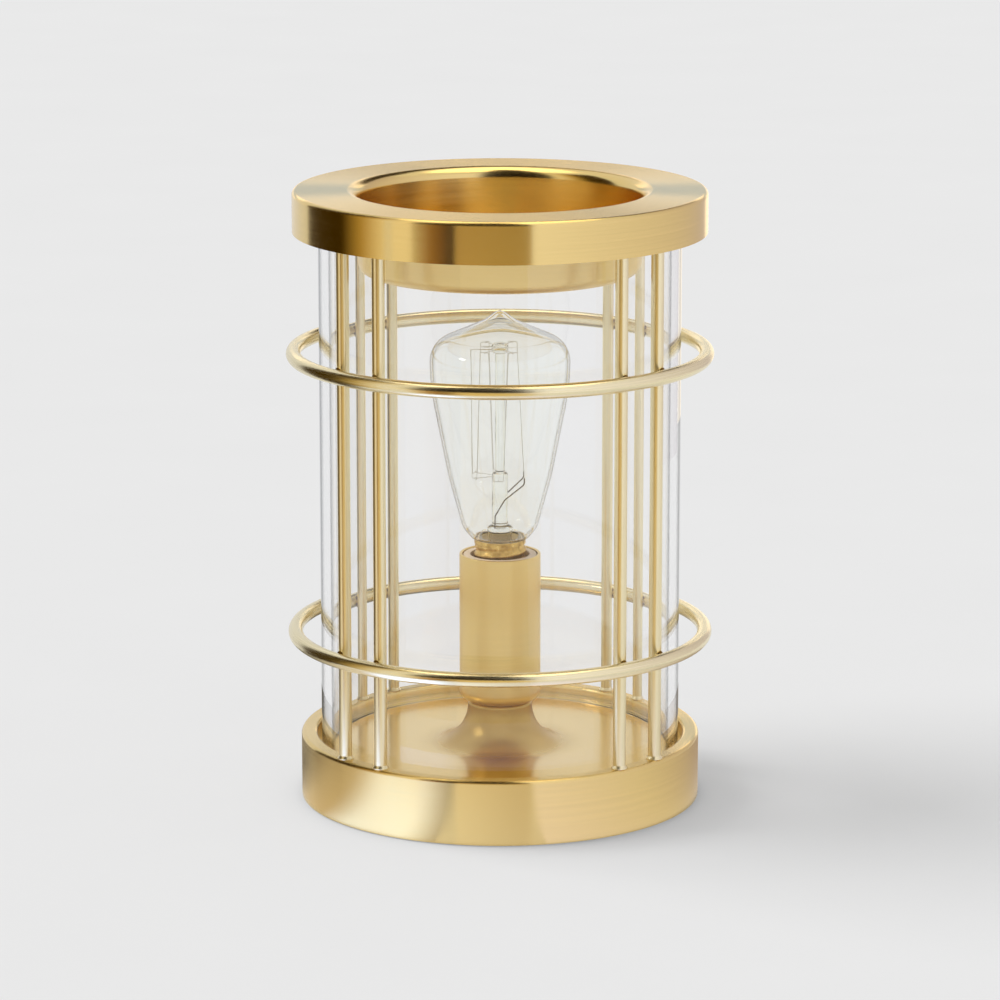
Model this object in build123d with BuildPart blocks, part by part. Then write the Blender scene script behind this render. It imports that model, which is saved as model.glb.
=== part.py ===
from build123d import *
import os
from math import cos, degrees, floor, radians, sin, sqrt, tan

# Scent warmer: a small lamp in a glass chimney warms a dish of wax from below.
# The dish, the wire cage and the base are brass. Millimetres, +Z up, the front is -Y.
# The origin is the middle of the underside, on the table.

# Driving dimensions of the base pan
base_radius = 52.6
base_height = 17.4
base_sheet = 0.9
bend_inside = 0.1
wall_lift = 0.3
ledge_width = 4.3
recess_depth = 3.4
flare_radius = 10.2
neck_radius = 8.5
neck_land = 0.3

# Glass chimney, loose in the base's recess
glass_clearance = 1.05
glass_wall = 2.6
glass_headroom = 0.5
glass_edge_rounding = 0.6

# Wire cage: rods on the ledge, in pairs, and two hoops round them
rod_radius = 1.65
rod_inset = 2.2
pair_count = 4
first_pair_angle = 45
pair_half_angle = 7.5
hoop_wire_radius = 1.9
lower_hoop_height = 44.4
upper_hoop_height = 118.8
ring_thickness = 2.0

# Warming dish, which hangs this far above the lamp
lamp_headroom = 10.2
dish_sheet = 1.0
skirt_gap = 0.95
ring_side_clearance = 0.6
band_height = 10.85
mouth_radius = 37.2
lip_rounding = 3.0
bowl_depth = 20.5
bowl_floor_radius = 35.6
bowl_corner_rounding = 2.0

# Underside: bottom cover on three posts, four rubber feet, cord inlet in the rear wall
cover_height = 2.4
cover_sheet = 0.8
cover_play = 0.4
post_inset = 7.1
post_radius = 3.2
post_count = 3
first_post_angle = 30
screw_radius = 1.5
screw_length = 6.0
screw_head_radius = 2.8
screw_head_height = 1.5
slot_width = 0.8
slot_depth = 0.7
thread_clearance = 0.05
foot_inset = 3.2
foot_radius = 5.0
foot_count = 4
first_foot_angle = 45
inlet_height = 8.4
inlet_bore_radius = 2.5
grommet_neck_radius = 3.7
grommet_flange_radius = 4.6
grommet_flange = 1.2

# Nipple, washer and nut that clamp the socket to the neck
nipple_radius = 4.0
nipple_bore_radius = 2.9
nipple_clearance = 0.15
nipple_thread_end = 1.6
washer_thickness = 0.8
washer_clearance = 0.8
nut_thickness = 3.0
nut_clearance = 0.65

# Lamp socket
socket_cover_radius = 10.7
socket_cover_height = 39.8
socket_cover_sheet = 0.8
socket_cover_rounding = 3.0
body_clearance = 0.25
body_setback = 0.2
body_length = 26.5
body_floor_thickness = 5.0
shell_radius = 7.7
shell_wall = 0.4
shell_setback = 3.0
shell_clearance = 0.05
shell_ridge = 0.5
shell_ridge_place = 0.25
bracket_sheet = 1.2
bracket_rim = 1.2
bracket_screw_radius = 1.25
bracket_screw_length = 5.0
bracket_head_radius = 2.0
bracket_head_height = 1.3
contact_sheet = 0.5
contact_width = 3.6
contact_rise = 1.8
contact_tail_place = 6.3
contact_tongue = 2.0
rivet_radius = 0.6
rivet_head_radius = 0.9
rivet_head_height = 0.4
rivet_depth_left = 0.5
tab_sheet = 0.4
tab_place = 7.45
terminal_height = 2.1
terminal_screw_radius = 1.2
terminal_screw_length = 3.5
terminal_head_radius = 1.9
terminal_head_height = 1.2
pocket_height = 4.2
pocket_margin = 0.4

# Socket leads and the caps that join them to a cord
lead_radius = 1.0
lead_spread = 1.35
lead_stub = 5.0
lead_top_run = 3.4
lead_drop = 7.6
lead_bend_share = 0.45
crimp_place = 13.0
crimp_mouth = 22.0
lead_sweep_start = 5.5
lead_sweep_end = 14.6
crimp_cap_radius = 3.2
crimp_cap_length = 13.0

# Lamp: screw cap with a thread of 14 mm, straight-sided pear envelope, squirrel-cage filament
thread_pitch = 2.822
thread_turns = 5
cap_core_radius = 6.3
cap_wall = 0.6
cap_ridge = 0.55
cap_ridge_place = 0.1
cap_height = 23.7
cap_rim_radius = 6.9
cap_rim_height = 2.2
pellet_radius = 2.3
pellet_height = 1.1
pellet_spigot_radius = 1.2
pellet_spigot_height = 1.5
running_clearance = 0.05
insulator_height = 4.0
insulator_base_radius = 3.4
lamp_glass_wall = 0.7
lamp_neck_clearance = 0.15
lamp_neck_length = 8.0
lamp_flare_radius = 7.3
lamp_flare_height = 0.2
lamp_flare_rounding = 2.0
lamp_foot_radius = 9.85
lamp_foot_height = 3.2
lamp_foot_rounding = 6.0
lamp_cone_radius = 13.6
lamp_cone_height = 16.9
lamp_cone_rounding = 60.0
lamp_radius = 18.4
lamp_cheek_height = 41.4
lamp_cheek_rounding = 60.0
lamp_shoulder_height = 52.1
lamp_shoulder_rounding = 7.0
lamp_crown_radius = 4.2
lamp_crown_height = 58.4
lamp_crown_rounding = 3.0
lamp_tip_radius = 1.3
lamp_tip_corner_height = 60.6
lamp_tip_height = 61.1
stem_press_radius = 2.9
stem_press_height = 3.6
stem_tube_radius = 2.1
stem_tube_top = 17.7
stem_rod_radius = 1.3
stem_button_radius = 2.2
stem_button_height = 1.8
stem_button_top = 52.0
wire_radius = 0.2
filament_radius = 0.15
filament_cage_radius = 7.7
filament_half_bend = 0.5
filament_bend_radius = 0.3
filament_hairpins = 5
lead_end_angle = 35
lead_wire_radius = 0.3
lead_wire_feet = (-121, 65)
lead_wire_rise = 3.0
lead_wire_knee_height = 7.5
lead_wire_turn = 66

# Places worked out from the sizes
recess_radius = base_radius - ledge_width
recess_floor = base_height - recess_depth
neck_top = recess_floor + flare_radius + base_sheet + neck_land
glass_radius = recess_radius - glass_clearance
rod_circle = base_radius - rod_inset
rod_outside = rod_circle + rod_radius
hoop_circle = rod_outside + hoop_wire_radius
dish_radius = rod_outside + skirt_gap + dish_sheet
socket_floor = neck_top + socket_cover_sheet
socket_top = neck_top + socket_cover_height
body_top = socket_top - body_setback
body_bottom = body_top - body_length
body_floor = body_bottom + body_floor_thickness
body_radius = socket_cover_radius - socket_cover_sheet - body_clearance
shell_inside = shell_radius - shell_wall
lamp_base = body_floor + contact_rise
cap_top = lamp_base + cap_height
total_height = cap_top + lamp_tip_height + lamp_headroom + dish_sheet + bowl_depth
ring_top = total_height - dish_sheet
ring_underside = ring_top - ring_thickness
glass_top = ring_top - glass_headroom
nipple_top = socket_floor + bracket_sheet + nipple_thread_end
nut_bottom = neck_top - base_sheet - washer_thickness - nut_thickness
nipple_bottom = nut_bottom - nipple_thread_end
cover_top = cover_height + cover_sheet
post_top = recess_floor - base_sheet
post_circle = recess_radius - post_inset - post_radius
foot_circle = base_radius - base_sheet - foot_inset - foot_radius
lamp_neck_radius = cap_core_radius - cap_wall - lamp_neck_clearance


def outline(*corners):
    """Half-section of a turned piece, from corners of (radius, height, rounding)."""
    with BuildSketch(Plane.XZ) as section:
        with BuildLine():
            FilletPolyline(
                [(r, z) for r, z, _ in corners],
                radius=[rounding for _, _, rounding in corners],
                close=True,
            )
        make_face()
    return section.sketch


def around(count, first_angle):
    """Angles, in degrees, of copies spread evenly round the axis."""
    return [first_angle + 360 * k / count for k in range(count)]


def polar(radius, angle, height=0):
    """The point at a radius, an angle in degrees and a height."""
    return (radius * cos(radians(angle)), radius * sin(radians(angle)), height)


def bend_radii(points):
    """A tangent arc for each inner point of a lead's route, as large as its two runs allow."""
    radii = []
    for before, here, after in zip(points, points[1:], points[2:]):
        run_in = Vector(*here) - Vector(*before)
        run_out = Vector(*after) - Vector(*here)
        turn = radians(run_in.get_angle(run_out))
        radii.append(lead_bend_share * min(run_in.length, run_out.length) / tan(turn / 2))
    return radii


def inset(corners, amount):
    """Corners of a wall's outside, listed upwards, moved to its inside; roundings stay concentric."""
    moved = []
    for i, (r, z, rounding) in enumerate(corners):
        here = Vector(r, z)
        runs = []
        if i > 0:
            runs.append((here - Vector(corners[i - 1][0], corners[i - 1][1])).normalized())
        if i < len(corners) - 1:
            runs.append((Vector(corners[i + 1][0], corners[i + 1][1]) - here).normalized())
        inward = (Vector(-runs[0].Y, runs[0].X) + Vector(-runs[-1].Y, runs[-1].X)).normalized()
        reach = amount / inward.dot(Vector(-runs[0].Y, runs[0].X))
        outward_bend = runs[0].cross(runs[-1]).Z > 0
        if rounding > 0:
            rounding += -amount if outward_bend else amount
        moved.append((r + inward.X * reach, z + inward.Y * reach, rounding))
    return moved


def keep(name, builder):
    """Label a finished piece and write it under its node's name."""
    piece = builder.part
    piece.label = name
    export_step(piece, f"parts/{name}.step")
    print(name, "volume", round(piece.volume, 1), "solids", len(piece.solids()))


os.makedirs("parts", exist_ok=True)


# Base pan: one spun sheet from the neck, down the flare, over the ledge and down the wall
pan_bend = base_sheet + bend_inside
with BuildPart() as base_pan:
    revolve(
        outline(
            (nipple_radius + nipple_clearance, neck_top, 0),
            (neck_radius, neck_top, pan_bend),
            (neck_radius, recess_floor, flare_radius),
            (recess_radius, recess_floor, bend_inside),
            (recess_radius, base_height, pan_bend),
            (base_radius, base_height, pan_bend),
            (base_radius, wall_lift, 0),
            (base_radius - base_sheet, wall_lift, 0),
            (base_radius - base_sheet, base_height - base_sheet, bend_inside),
            (recess_radius + base_sheet, base_height - base_sheet, bend_inside),
            (recess_radius + base_sheet, recess_floor - base_sheet, pan_bend),
            (neck_radius - base_sheet, recess_floor - base_sheet, flare_radius + base_sheet),
            (neck_radius - base_sheet, neck_top - base_sheet, bend_inside),
            (nipple_radius + nipple_clearance, neck_top - base_sheet, 0),
        ),
        axis=Axis.Z,
    )
    with BuildSketch(Plane.XZ.offset(-base_radius - base_sheet)):
        with Locations((0, inlet_height)):
            Circle(grommet_neck_radius)
    extrude(amount=3 * base_sheet, mode=Mode.SUBTRACT)
keep("base_pan", base_pan)

# Cord grommet: two flanges each side of the rear wall, with a neck between them
wall_inside_at_flange = sqrt((base_radius - base_sheet) ** 2 - grommet_flange_radius**2)
grommet_inner = wall_inside_at_flange - grommet_flange
grommet_outer = base_radius + grommet_flange
with BuildPart() as cord_grommet:
    with BuildSketch(Plane.XZ.offset(-grommet_outer)):
        with Locations((0, inlet_height)):
            Circle(grommet_flange_radius)
    extrude(amount=grommet_flange)
    with BuildSketch(Plane.XZ.offset(-grommet_outer)):
        with Locations((0, inlet_height)):
            Circle(grommet_neck_radius)
    extrude(amount=grommet_outer - grommet_inner)
    with BuildSketch(Plane.XZ.offset(-wall_inside_at_flange)):
        with Locations((0, inlet_height)):
            Circle(grommet_flange_radius)
    extrude(amount=grommet_flange)
    with BuildSketch(Plane.XZ.offset(-grommet_outer)):
        with Locations((0, inlet_height)):
            Circle(inlet_bore_radius)
    extrude(amount=grommet_outer - grommet_inner, mode=Mode.SUBTRACT)
    outer_rims = cord_grommet.edges().filter_by(GeomType.CIRCLE).sort_by(Axis.Y)[-2:]
    fillet(outer_rims.sort_by(SortBy.RADIUS)[-1], grommet_flange / 3)
keep("cord_grommet", cord_grommet)

# Bottom cover and what holds it
with BuildPart() as bottom_cover:
    with BuildSketch(Plane.XY.offset(cover_height)):
        Circle(base_radius - base_sheet - cover_play)
        with PolarLocations(post_circle, post_count, first_post_angle):
            Circle(screw_radius + nipple_clearance, mode=Mode.SUBTRACT)
    extrude(amount=cover_sheet)
keep("bottom_cover", bottom_cover)

with BuildPart() as cover_posts:
    with BuildSketch(Plane.XY.offset(cover_top)):
        with PolarLocations(post_circle, post_count, first_post_angle):
            Circle(post_radius)
            Circle(screw_radius + thread_clearance, mode=Mode.SUBTRACT)
    extrude(amount=screw_length)
    with BuildSketch(Plane.XY.offset(cover_top + screw_length)):
        with PolarLocations(post_circle, post_count, first_post_angle):
            Circle(post_radius)
    extrude(amount=post_top - cover_top - screw_length)
keep("cover_posts", cover_posts)

with BuildPart() as cover_screws:
    with BuildSketch(Plane.XY.offset(cover_height)):
        with PolarLocations(post_circle, post_count, first_post_angle):
            Circle(screw_head_radius)
    extrude(amount=-screw_head_height)
    head_rims = cover_screws.edges().filter_by(GeomType.CIRCLE).group_by(Axis.Z)[0]
    fillet(head_rims, screw_head_height / 3)
    with BuildSketch(Plane.XY.offset(cover_height)):
        with PolarLocations(post_circle, post_count, first_post_angle):
            Circle(screw_radius)
    extrude(amount=cover_sheet + screw_length - thread_clearance)
    with BuildSketch(Plane.XY.offset(cover_height - screw_head_height)):
        with PolarLocations(post_circle, post_count, first_post_angle):
            Rectangle(3 * screw_head_radius, slot_width)
    extrude(amount=slot_depth, mode=Mode.SUBTRACT)
keep("cover_screws", cover_screws)

with BuildPart() as foot_pads:
    with BuildSketch():
        with PolarLocations(foot_circle, foot_count, first_foot_angle):
            Circle(foot_radius)
    extrude(amount=cover_height)
    foot_rims = foot_pads.edges().filter_by(GeomType.CIRCLE).group_by(Axis.Z)[0]
    fillet(foot_rims, cover_height / 5)
keep("foot_pads", foot_pads)

# Wire cage: rods in pairs, from the ledge to the ring under the dish
rod_angles = []
for pair_angle in around(pair_count, first_pair_angle):
    rod_angles.append(pair_angle - pair_half_angle)
    rod_angles.append(pair_angle + pair_half_angle)
for number, rod_angle in enumerate(rod_angles, start=1):
    with BuildPart() as cage_rod:
        with BuildSketch(Plane.XY.offset(base_height)):
            with Locations(polar(rod_circle, rod_angle)):
                Circle(rod_radius)
        extrude(amount=ring_underside - base_height)
    keep(f"cage_rod_{number}", cage_rod)

for hoop_name, hoop_height in (("lower_hoop", lower_hoop_height), ("upper_hoop", upper_hoop_height)):
    with BuildPart() as hoop:
        with BuildSketch(Plane.XZ):
            with Locations((hoop_circle, hoop_height)):
                Circle(hoop_wire_radius)
        revolve(axis=Axis.Z)
    keep(hoop_name, hoop)

with BuildPart() as cage_top_ring:
    with BuildSketch(Plane.XY.offset(ring_underside)):
        Circle(dish_radius - dish_sheet - ring_side_clearance)
        Circle(recess_radius, mode=Mode.SUBTRACT)
    extrude(amount=ring_thickness)
keep("cage_top_ring", cage_top_ring)

# Glass chimney: a tube with melted, rounded ends
with BuildPart() as glass_chimney:
    revolve(
        outline(
            (glass_radius - glass_wall, recess_floor, glass_edge_rounding),
            (glass_radius, recess_floor, glass_edge_rounding),
            (glass_radius, glass_top, glass_edge_rounding),
            (glass_radius - glass_wall, glass_top, glass_edge_rounding),
        ),
        axis=Axis.Z,
    )
keep("glass_chimney", glass_chimney)

# Warming dish: band, flat rim, rolled lip and bowl, all one sheet
dish_bend = dish_sheet + bend_inside
bowl_floor = total_height - bowl_depth
with BuildPart() as warming_dish:
    revolve(
        outline(
            (0, bowl_floor, 0),
            (bowl_floor_radius, bowl_floor, bowl_corner_rounding),
            (mouth_radius, total_height, lip_rounding),
            (dish_radius, total_height, dish_bend),
            (dish_radius, total_height - band_height, 0),
            (dish_radius - dish_sheet, total_height - band_height, 0),
            (dish_radius - dish_sheet, ring_top, bend_inside),
            (mouth_radius + dish_sheet, ring_top, lip_rounding - dish_sheet),
            (bowl_floor_radius + dish_sheet, bowl_floor - dish_sheet, bowl_corner_rounding + dish_sheet),
            (0, bowl_floor - dish_sheet, 0),
        ),
        axis=Axis.Z,
    )
keep("warming_dish", warming_dish)

# Nipple, lock washer and lock nut
with BuildPart() as threaded_nipple:
    with BuildSketch(Plane.XY.offset(nipple_bottom)):
        Circle(nipple_radius)
        Circle(nipple_bore_radius, mode=Mode.SUBTRACT)
    extrude(amount=nipple_top - nipple_bottom)
    nipple_ends = threaded_nipple.edges().filter_by(GeomType.CIRCLE)
    chamfer(nipple_ends.sort_by(SortBy.RADIUS)[-2:], (nipple_radius - nipple_bore_radius) / 3)
keep("threaded_nipple", threaded_nipple)

with BuildPart() as lock_washer:
    with BuildSketch(Plane.XY.offset(nut_bottom + nut_thickness)):
        Circle(neck_radius - base_sheet - washer_clearance)
        Circle(nipple_radius + nipple_clearance, mode=Mode.SUBTRACT)
    extrude(amount=washer_thickness)
keep("lock_washer", lock_washer)

with BuildPart() as lock_nut:
    with BuildSketch(Plane.XY.offset(nut_bottom)):
        RegularPolygon(neck_radius - base_sheet - nut_clearance, 6)
        Circle(nipple_radius + thread_clearance, mode=Mode.SUBTRACT)
    extrude(amount=nut_thickness)
keep("lock_nut", lock_nut)

# Socket cover: a tube with a closed, rounded lower end
with BuildPart() as socket_cover:
    revolve(
        outline(
            (nipple_radius + nipple_clearance, neck_top, 0),
            (socket_cover_radius, neck_top, socket_cover_rounding),
            (socket_cover_radius, socket_top, socket_cover_sheet / 3),
            (socket_cover_radius - socket_cover_sheet, socket_top, socket_cover_sheet / 3),
            (
                socket_cover_radius - socket_cover_sheet,
                socket_floor,
                socket_cover_rounding - socket_cover_sheet,
            ),
            (nipple_radius + nipple_clearance, socket_floor, 0),
        ),
        axis=Axis.Z,
    )
keep("socket_cover", socket_cover)

# Socket bracket: a foot screwed on the nipple, two legs, two tabs under the body
bracket_width = 2 * (nipple_radius + bracket_rim)
leg_outside = sqrt((socket_cover_radius - socket_cover_rounding) ** 2 - (bracket_width / 2) ** 2)
screw_place = leg_outside - bracket_sheet - bracket_head_radius
with BuildPart() as socket_bracket:
    with BuildSketch(Plane.YZ.offset(-bracket_width / 2)):
        with BuildLine():
            Polyline(
                (-leg_outside, socket_floor),
                (leg_outside, socket_floor),
                (leg_outside, body_bottom),
                (screw_place - bracket_head_radius, body_bottom),
                (screw_place - bracket_head_radius, body_bottom - bracket_sheet),
                (leg_outside - bracket_sheet, body_bottom - bracket_sheet),
                (leg_outside - bracket_sheet, socket_floor + bracket_sheet),
                (bracket_sheet - leg_outside, socket_floor + bracket_sheet),
                (bracket_sheet - leg_outside, body_bottom - bracket_sheet),
                (bracket_head_radius - screw_place, body_bottom - bracket_sheet),
                (bracket_head_radius - screw_place, body_bottom),
                (-leg_outside, body_bottom),
                close=True,
            )
        make_face()
    extrude(amount=bracket_width)
    with BuildSketch(Plane.XY.offset(socket_floor)):
        Circle(nipple_radius + thread_clearance)
    extrude(amount=bracket_sheet, mode=Mode.SUBTRACT)
    with BuildSketch(Plane.XY.offset(body_bottom)):
        with Locations((0, screw_place), (0, -screw_place)):
            Circle(bracket_screw_radius + thread_clearance)
    extrude(amount=-bracket_sheet, mode=Mode.SUBTRACT)
keep("socket_bracket", socket_bracket)

with BuildPart() as bracket_screws:
    with BuildSketch(Plane.XY.offset(body_bottom - bracket_sheet)):
        with Locations((0, screw_place), (0, -screw_place)):
            Circle(bracket_head_radius)
    extrude(amount=-bracket_head_height)
    with BuildSketch(Plane.XY.offset(body_bottom - bracket_sheet)):
        with Locations((0, screw_place), (0, -screw_place)):
            Circle(bracket_screw_radius)
    extrude(amount=bracket_screw_length)
keep("bracket_screws", bracket_screws)

# Socket body: insulating cup with a pocket each side for its terminals
terminal_axis = body_bottom + terminal_height
tab_inside = tab_place - tab_sheet
tail_inside = contact_tail_place - contact_sheet
tongue_foot = contact_tongue + contact_rise
rivet_place = -(tail_inside + tongue_foot) / 2
rivet_length = body_floor - terminal_axis - terminal_screw_radius - rivet_depth_left
pocket_width = contact_width + 2 * pocket_margin
with BuildPart() as socket_body:
    revolve(
        outline(
            (0, body_bottom, 0),
            (body_radius, body_bottom, 0),
            (body_radius, body_top, body_clearance),
            (shell_radius + shell_clearance, body_top, body_clearance),
            (shell_radius + shell_clearance, body_floor, 0),
            (0, body_floor, 0),
        ),
        axis=Axis.Z,
    )
    with BuildSketch(Plane.XY.offset(body_bottom)):
        with Locations(((tab_inside + body_radius + pocket_margin) / 2, 0)):
            Rectangle(body_radius + pocket_margin - tab_inside, pocket_width)
        with Locations((-(tail_inside + body_radius + pocket_margin) / 2, 0)):
            Rectangle(body_radius + pocket_margin - tail_inside, pocket_width)
    extrude(amount=pocket_height, mode=Mode.SUBTRACT)
    with BuildSketch(Plane.XY.offset(body_bottom)):
        with Locations((tab_place - tab_sheet / 2, 0)):
            Rectangle(tab_sheet + 2 * thread_clearance, contact_width + 2 * thread_clearance)
        with Locations((contact_sheet / 2 - contact_tail_place, 0)):
            Rectangle(contact_sheet + 2 * thread_clearance, contact_width + 2 * thread_clearance)
    extrude(amount=body_floor_thickness, mode=Mode.SUBTRACT)
    with BuildSketch(Plane.YZ.offset(tab_inside)):
        with Locations((0, terminal_axis)):
            Circle(terminal_screw_radius + thread_clearance)
    extrude(amount=-terminal_screw_length, mode=Mode.SUBTRACT)
    with BuildSketch(Plane.YZ.offset(-tail_inside)):
        with Locations((0, terminal_axis)):
            Circle(terminal_screw_radius + thread_clearance)
    extrude(amount=terminal_screw_length, mode=Mode.SUBTRACT)
    with BuildSketch(Plane.XY.offset(body_bottom)):
        with Locations((0, screw_place), (0, -screw_place)):
            Circle(bracket_screw_radius + thread_clearance)
    extrude(amount=bracket_screw_length - bracket_sheet + thread_clearance, mode=Mode.SUBTRACT)
    with BuildSketch(Plane.XY.offset(body_floor)):
        with Locations((rivet_place, 0)):
            Circle(rivet_radius + thread_clearance)
    extrude(amount=-rivet_length - thread_clearance, mode=Mode.SUBTRACT)
keep("socket_body", socket_body)

# Screw shell: a threaded tube with a tab down to its terminal
shell_bottom = body_floor + shell_clearance
shell_top = body_top - shell_setback
shell_thread_start = lamp_base + insulator_height + thread_pitch
shell_thread_turns = floor((shell_top - shell_thread_start) / thread_pitch * 4) / 4
with BuildPart() as screw_shell:
    with BuildSketch(Plane.XY.offset(shell_bottom)):
        Circle(shell_radius)
        Circle(shell_inside, mode=Mode.SUBTRACT)
    extrude(amount=shell_top - shell_bottom)
    with BuildSketch(Plane.XY.offset(body_bottom + pocket_margin)):
        with Locations((tab_place - tab_sheet / 2, 0)):
            Rectangle(tab_sheet, contact_width)
    extrude(amount=shell_bottom + tab_sheet - body_bottom - pocket_margin)
    with BuildLine() as shell_helix:
        Helix(
            pitch=thread_pitch,
            height=thread_pitch * shell_thread_turns,
            radius=shell_inside - shell_ridge_place,
            center=(0, 0, shell_thread_start),
        )
    with BuildSketch(Plane(origin=shell_helix.line @ 0, z_dir=shell_helix.line % 0)):
        Circle(shell_ridge)
    sweep(path=shell_helix.line, is_frenet=True)
    with BuildSketch(Plane.YZ.offset(tab_inside)):
        with Locations((0, terminal_axis)):
            Circle(terminal_screw_radius + thread_clearance)
    extrude(amount=tab_sheet, mode=Mode.SUBTRACT)
keep("screw_shell", screw_shell)

# Centre contact: a bent strip, riveted to the floor, with its tail in the other pocket
with BuildPart() as centre_contact:
    with BuildSketch(Plane.XZ.offset(-contact_width / 2)):
        with BuildLine():
            Polyline(
                (-contact_tail_place, body_bottom + pocket_margin),
                (-tail_inside, body_bottom + pocket_margin),
                (-tail_inside, body_floor),
                (-tongue_foot, body_floor),
                (-contact_tongue, lamp_base - contact_sheet),
                (contact_tongue, lamp_base - contact_sheet),
                (contact_tongue, lamp_base),
                (-contact_tongue - contact_sheet / 2, lamp_base),
                (-tongue_foot, body_floor + contact_sheet),
                (-contact_tail_place, body_floor + contact_sheet),
                close=True,
            )
        make_face()
    extrude(amount=contact_width)
    with BuildSketch(Plane.XY.offset(body_floor)):
        with Locations((rivet_place, 0)):
            Circle(rivet_radius + thread_clearance)
    extrude(amount=contact_sheet, mode=Mode.SUBTRACT)
    with BuildSketch(Plane.YZ.offset(-contact_tail_place)):
        with Locations((0, terminal_axis)):
            Circle(terminal_screw_radius + thread_clearance)
    extrude(amount=contact_sheet, mode=Mode.SUBTRACT)
keep("centre_contact", centre_contact)

with BuildPart() as contact_rivet:
    with BuildSketch(Plane.XY.offset(body_floor + contact_sheet)):
        with Locations((rivet_place, 0)):
            Circle(rivet_head_radius)
    extrude(amount=rivet_head_height)
    fillet(contact_rivet.edges().filter_by(GeomType.CIRCLE).group_by(Axis.Z)[-1], rivet_head_height / 2)
    with BuildSketch(Plane.XY.offset(body_floor + contact_sheet)):
        with Locations((rivet_place, 0)):
            Circle(rivet_radius)
    extrude(amount=-contact_sheet - rivet_length)
keep("contact_rivet", contact_rivet)

# Terminal screws: each clamps a lead on its tab, one on the shell's side and one on the contact's
with BuildPart() as terminal_screws:
    for side, seat, sheet in ((1, tab_place, tab_sheet), (-1, contact_tail_place, contact_sheet)):
        with BuildSketch(Plane.YZ.offset(side * seat)):
            with Locations((0, terminal_axis)):
                Circle(terminal_head_radius)
        extrude(amount=side * terminal_head_height)
        with BuildSketch(Plane.YZ.offset(side * seat)):
            with Locations((0, terminal_axis)):
                Circle(terminal_screw_radius)
        extrude(amount=-side * terminal_screw_length)
keep("terminal_screws", terminal_screws)

# Socket leads: from the terminals, down the nipple, to the crimp caps that lie on the bottom cover
lead_level = cover_top + crimp_cap_radius
lead_rest = nipple_bottom - lead_drop
lead_joins = (
    ("lead_neutral", 1, tab_place + lead_radius + thread_clearance),
    ("lead_line", -1, contact_tail_place + lead_radius + thread_clearance),
)
for lead_name, side, terminal_place in lead_joins:
    route = [
        (side * terminal_place, 0, terminal_axis - terminal_head_radius - thread_clearance),
        (side * terminal_place, 0, body_bottom - lead_top_run),
        (side * lead_spread, 0, nipple_top + lead_top_run / 2),
        (side * lead_spread, 0, lead_rest),
        (side * crimp_place / 2, lead_sweep_start, lead_level + lead_radius),
        (side * crimp_place, lead_sweep_end, lead_level),
        (side * crimp_place, crimp_mouth + lead_stub, lead_level),
    ]
    radii = bend_radii(route)
    print(lead_name, "bend radii", [round(radius, 1) for radius in radii])
    with BuildPart() as lead:
        with BuildLine() as lead_path:
            FilletPolyline(route, radius=radii)
        with BuildSketch(Plane(origin=lead_path.line @ 0, z_dir=lead_path.line % 0)):
            Circle(lead_radius)
        sweep(path=lead_path.line)
    keep(lead_name, lead)

with BuildPart() as crimp_caps:
    for side in (1, -1):
        with BuildSketch(Plane.XZ.offset(-crimp_mouth)):
            with Locations((side * crimp_place, lead_level)):
                Circle(crimp_cap_radius)
        extrude(amount=-crimp_cap_length)
    closed_ends = crimp_caps.edges().filter_by(GeomType.CIRCLE).group_by(Axis.Y)[-1]
    fillet(closed_ends, crimp_cap_radius / 3)
    with BuildSketch(Plane.XZ.offset(-crimp_mouth)):
        with Locations((crimp_place, lead_level), (-crimp_place, lead_level)):
            Circle(lead_radius + thread_clearance)
    extrude(amount=-lead_stub - crimp_cap_radius / 3, mode=Mode.SUBTRACT)
keep("crimp_caps", crimp_caps)

# Lamp contact and insulator, under the cap
pellet_top = lamp_base + pellet_height
with BuildPart() as cap_contact:
    revolve(
        outline(
            (0, lamp_base, 0),
            (pellet_radius, lamp_base, pellet_height / 2),
            (pellet_radius, pellet_top, 0),
            (pellet_spigot_radius, pellet_top, 0),
            (pellet_spigot_radius, pellet_top + pellet_spigot_height, 0),
            (0, pellet_top + pellet_spigot_height, 0),
        ),
        axis=Axis.Z,
    )
keep("cap_contact", cap_contact)

cap_bottom = lamp_base + insulator_height
cap_inside = cap_core_radius - cap_wall
insulator_neck = cap_inside - cap_wall
with BuildPart() as cap_insulator:
    revolve(
        outline(
            (pellet_spigot_radius + running_clearance, pellet_top, 0),
            (insulator_base_radius, pellet_top, pellet_height / 3),
            (cap_inside, cap_bottom, 0),
            (insulator_neck, cap_bottom, 0),
            (insulator_neck, cap_bottom + 2 * cap_wall, 0),
            (pellet_spigot_radius + running_clearance, cap_bottom + 2 * cap_wall, 0),
        ),
        axis=Axis.Z,
    )
keep("cap_insulator", cap_insulator)

# Lamp cap: thin brass, with a thread that runs in the screw shell's
thread_start = cap_bottom + thread_pitch / 2
with BuildPart() as bulb_cap:
    revolve(
        outline(
            (insulator_neck + thread_clearance, cap_bottom, 0),
            (cap_core_radius, cap_bottom, cap_wall),
            (cap_core_radius, cap_top - cap_rim_height, 0),
            (cap_rim_radius, cap_top - cap_rim_height, cap_wall / 3),
            (cap_rim_radius, cap_top, cap_wall / 3),
            (cap_inside, cap_top, 0),
            (cap_inside, cap_bottom + cap_wall, 0),
            (insulator_neck + thread_clearance, cap_bottom + cap_wall, 0),
        ),
        axis=Axis.Z,
    )
    with BuildLine() as cap_helix:
        Helix(
            pitch=thread_pitch,
            height=thread_pitch * thread_turns,
            radius=cap_core_radius + cap_ridge_place,
            center=(0, 0, thread_start),
        )
    with BuildSketch(Plane(origin=cap_helix.line @ 0, z_dir=cap_helix.line % 0)):
        Circle(cap_ridge)
    sweep(path=cap_helix.line, is_frenet=True)
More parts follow.
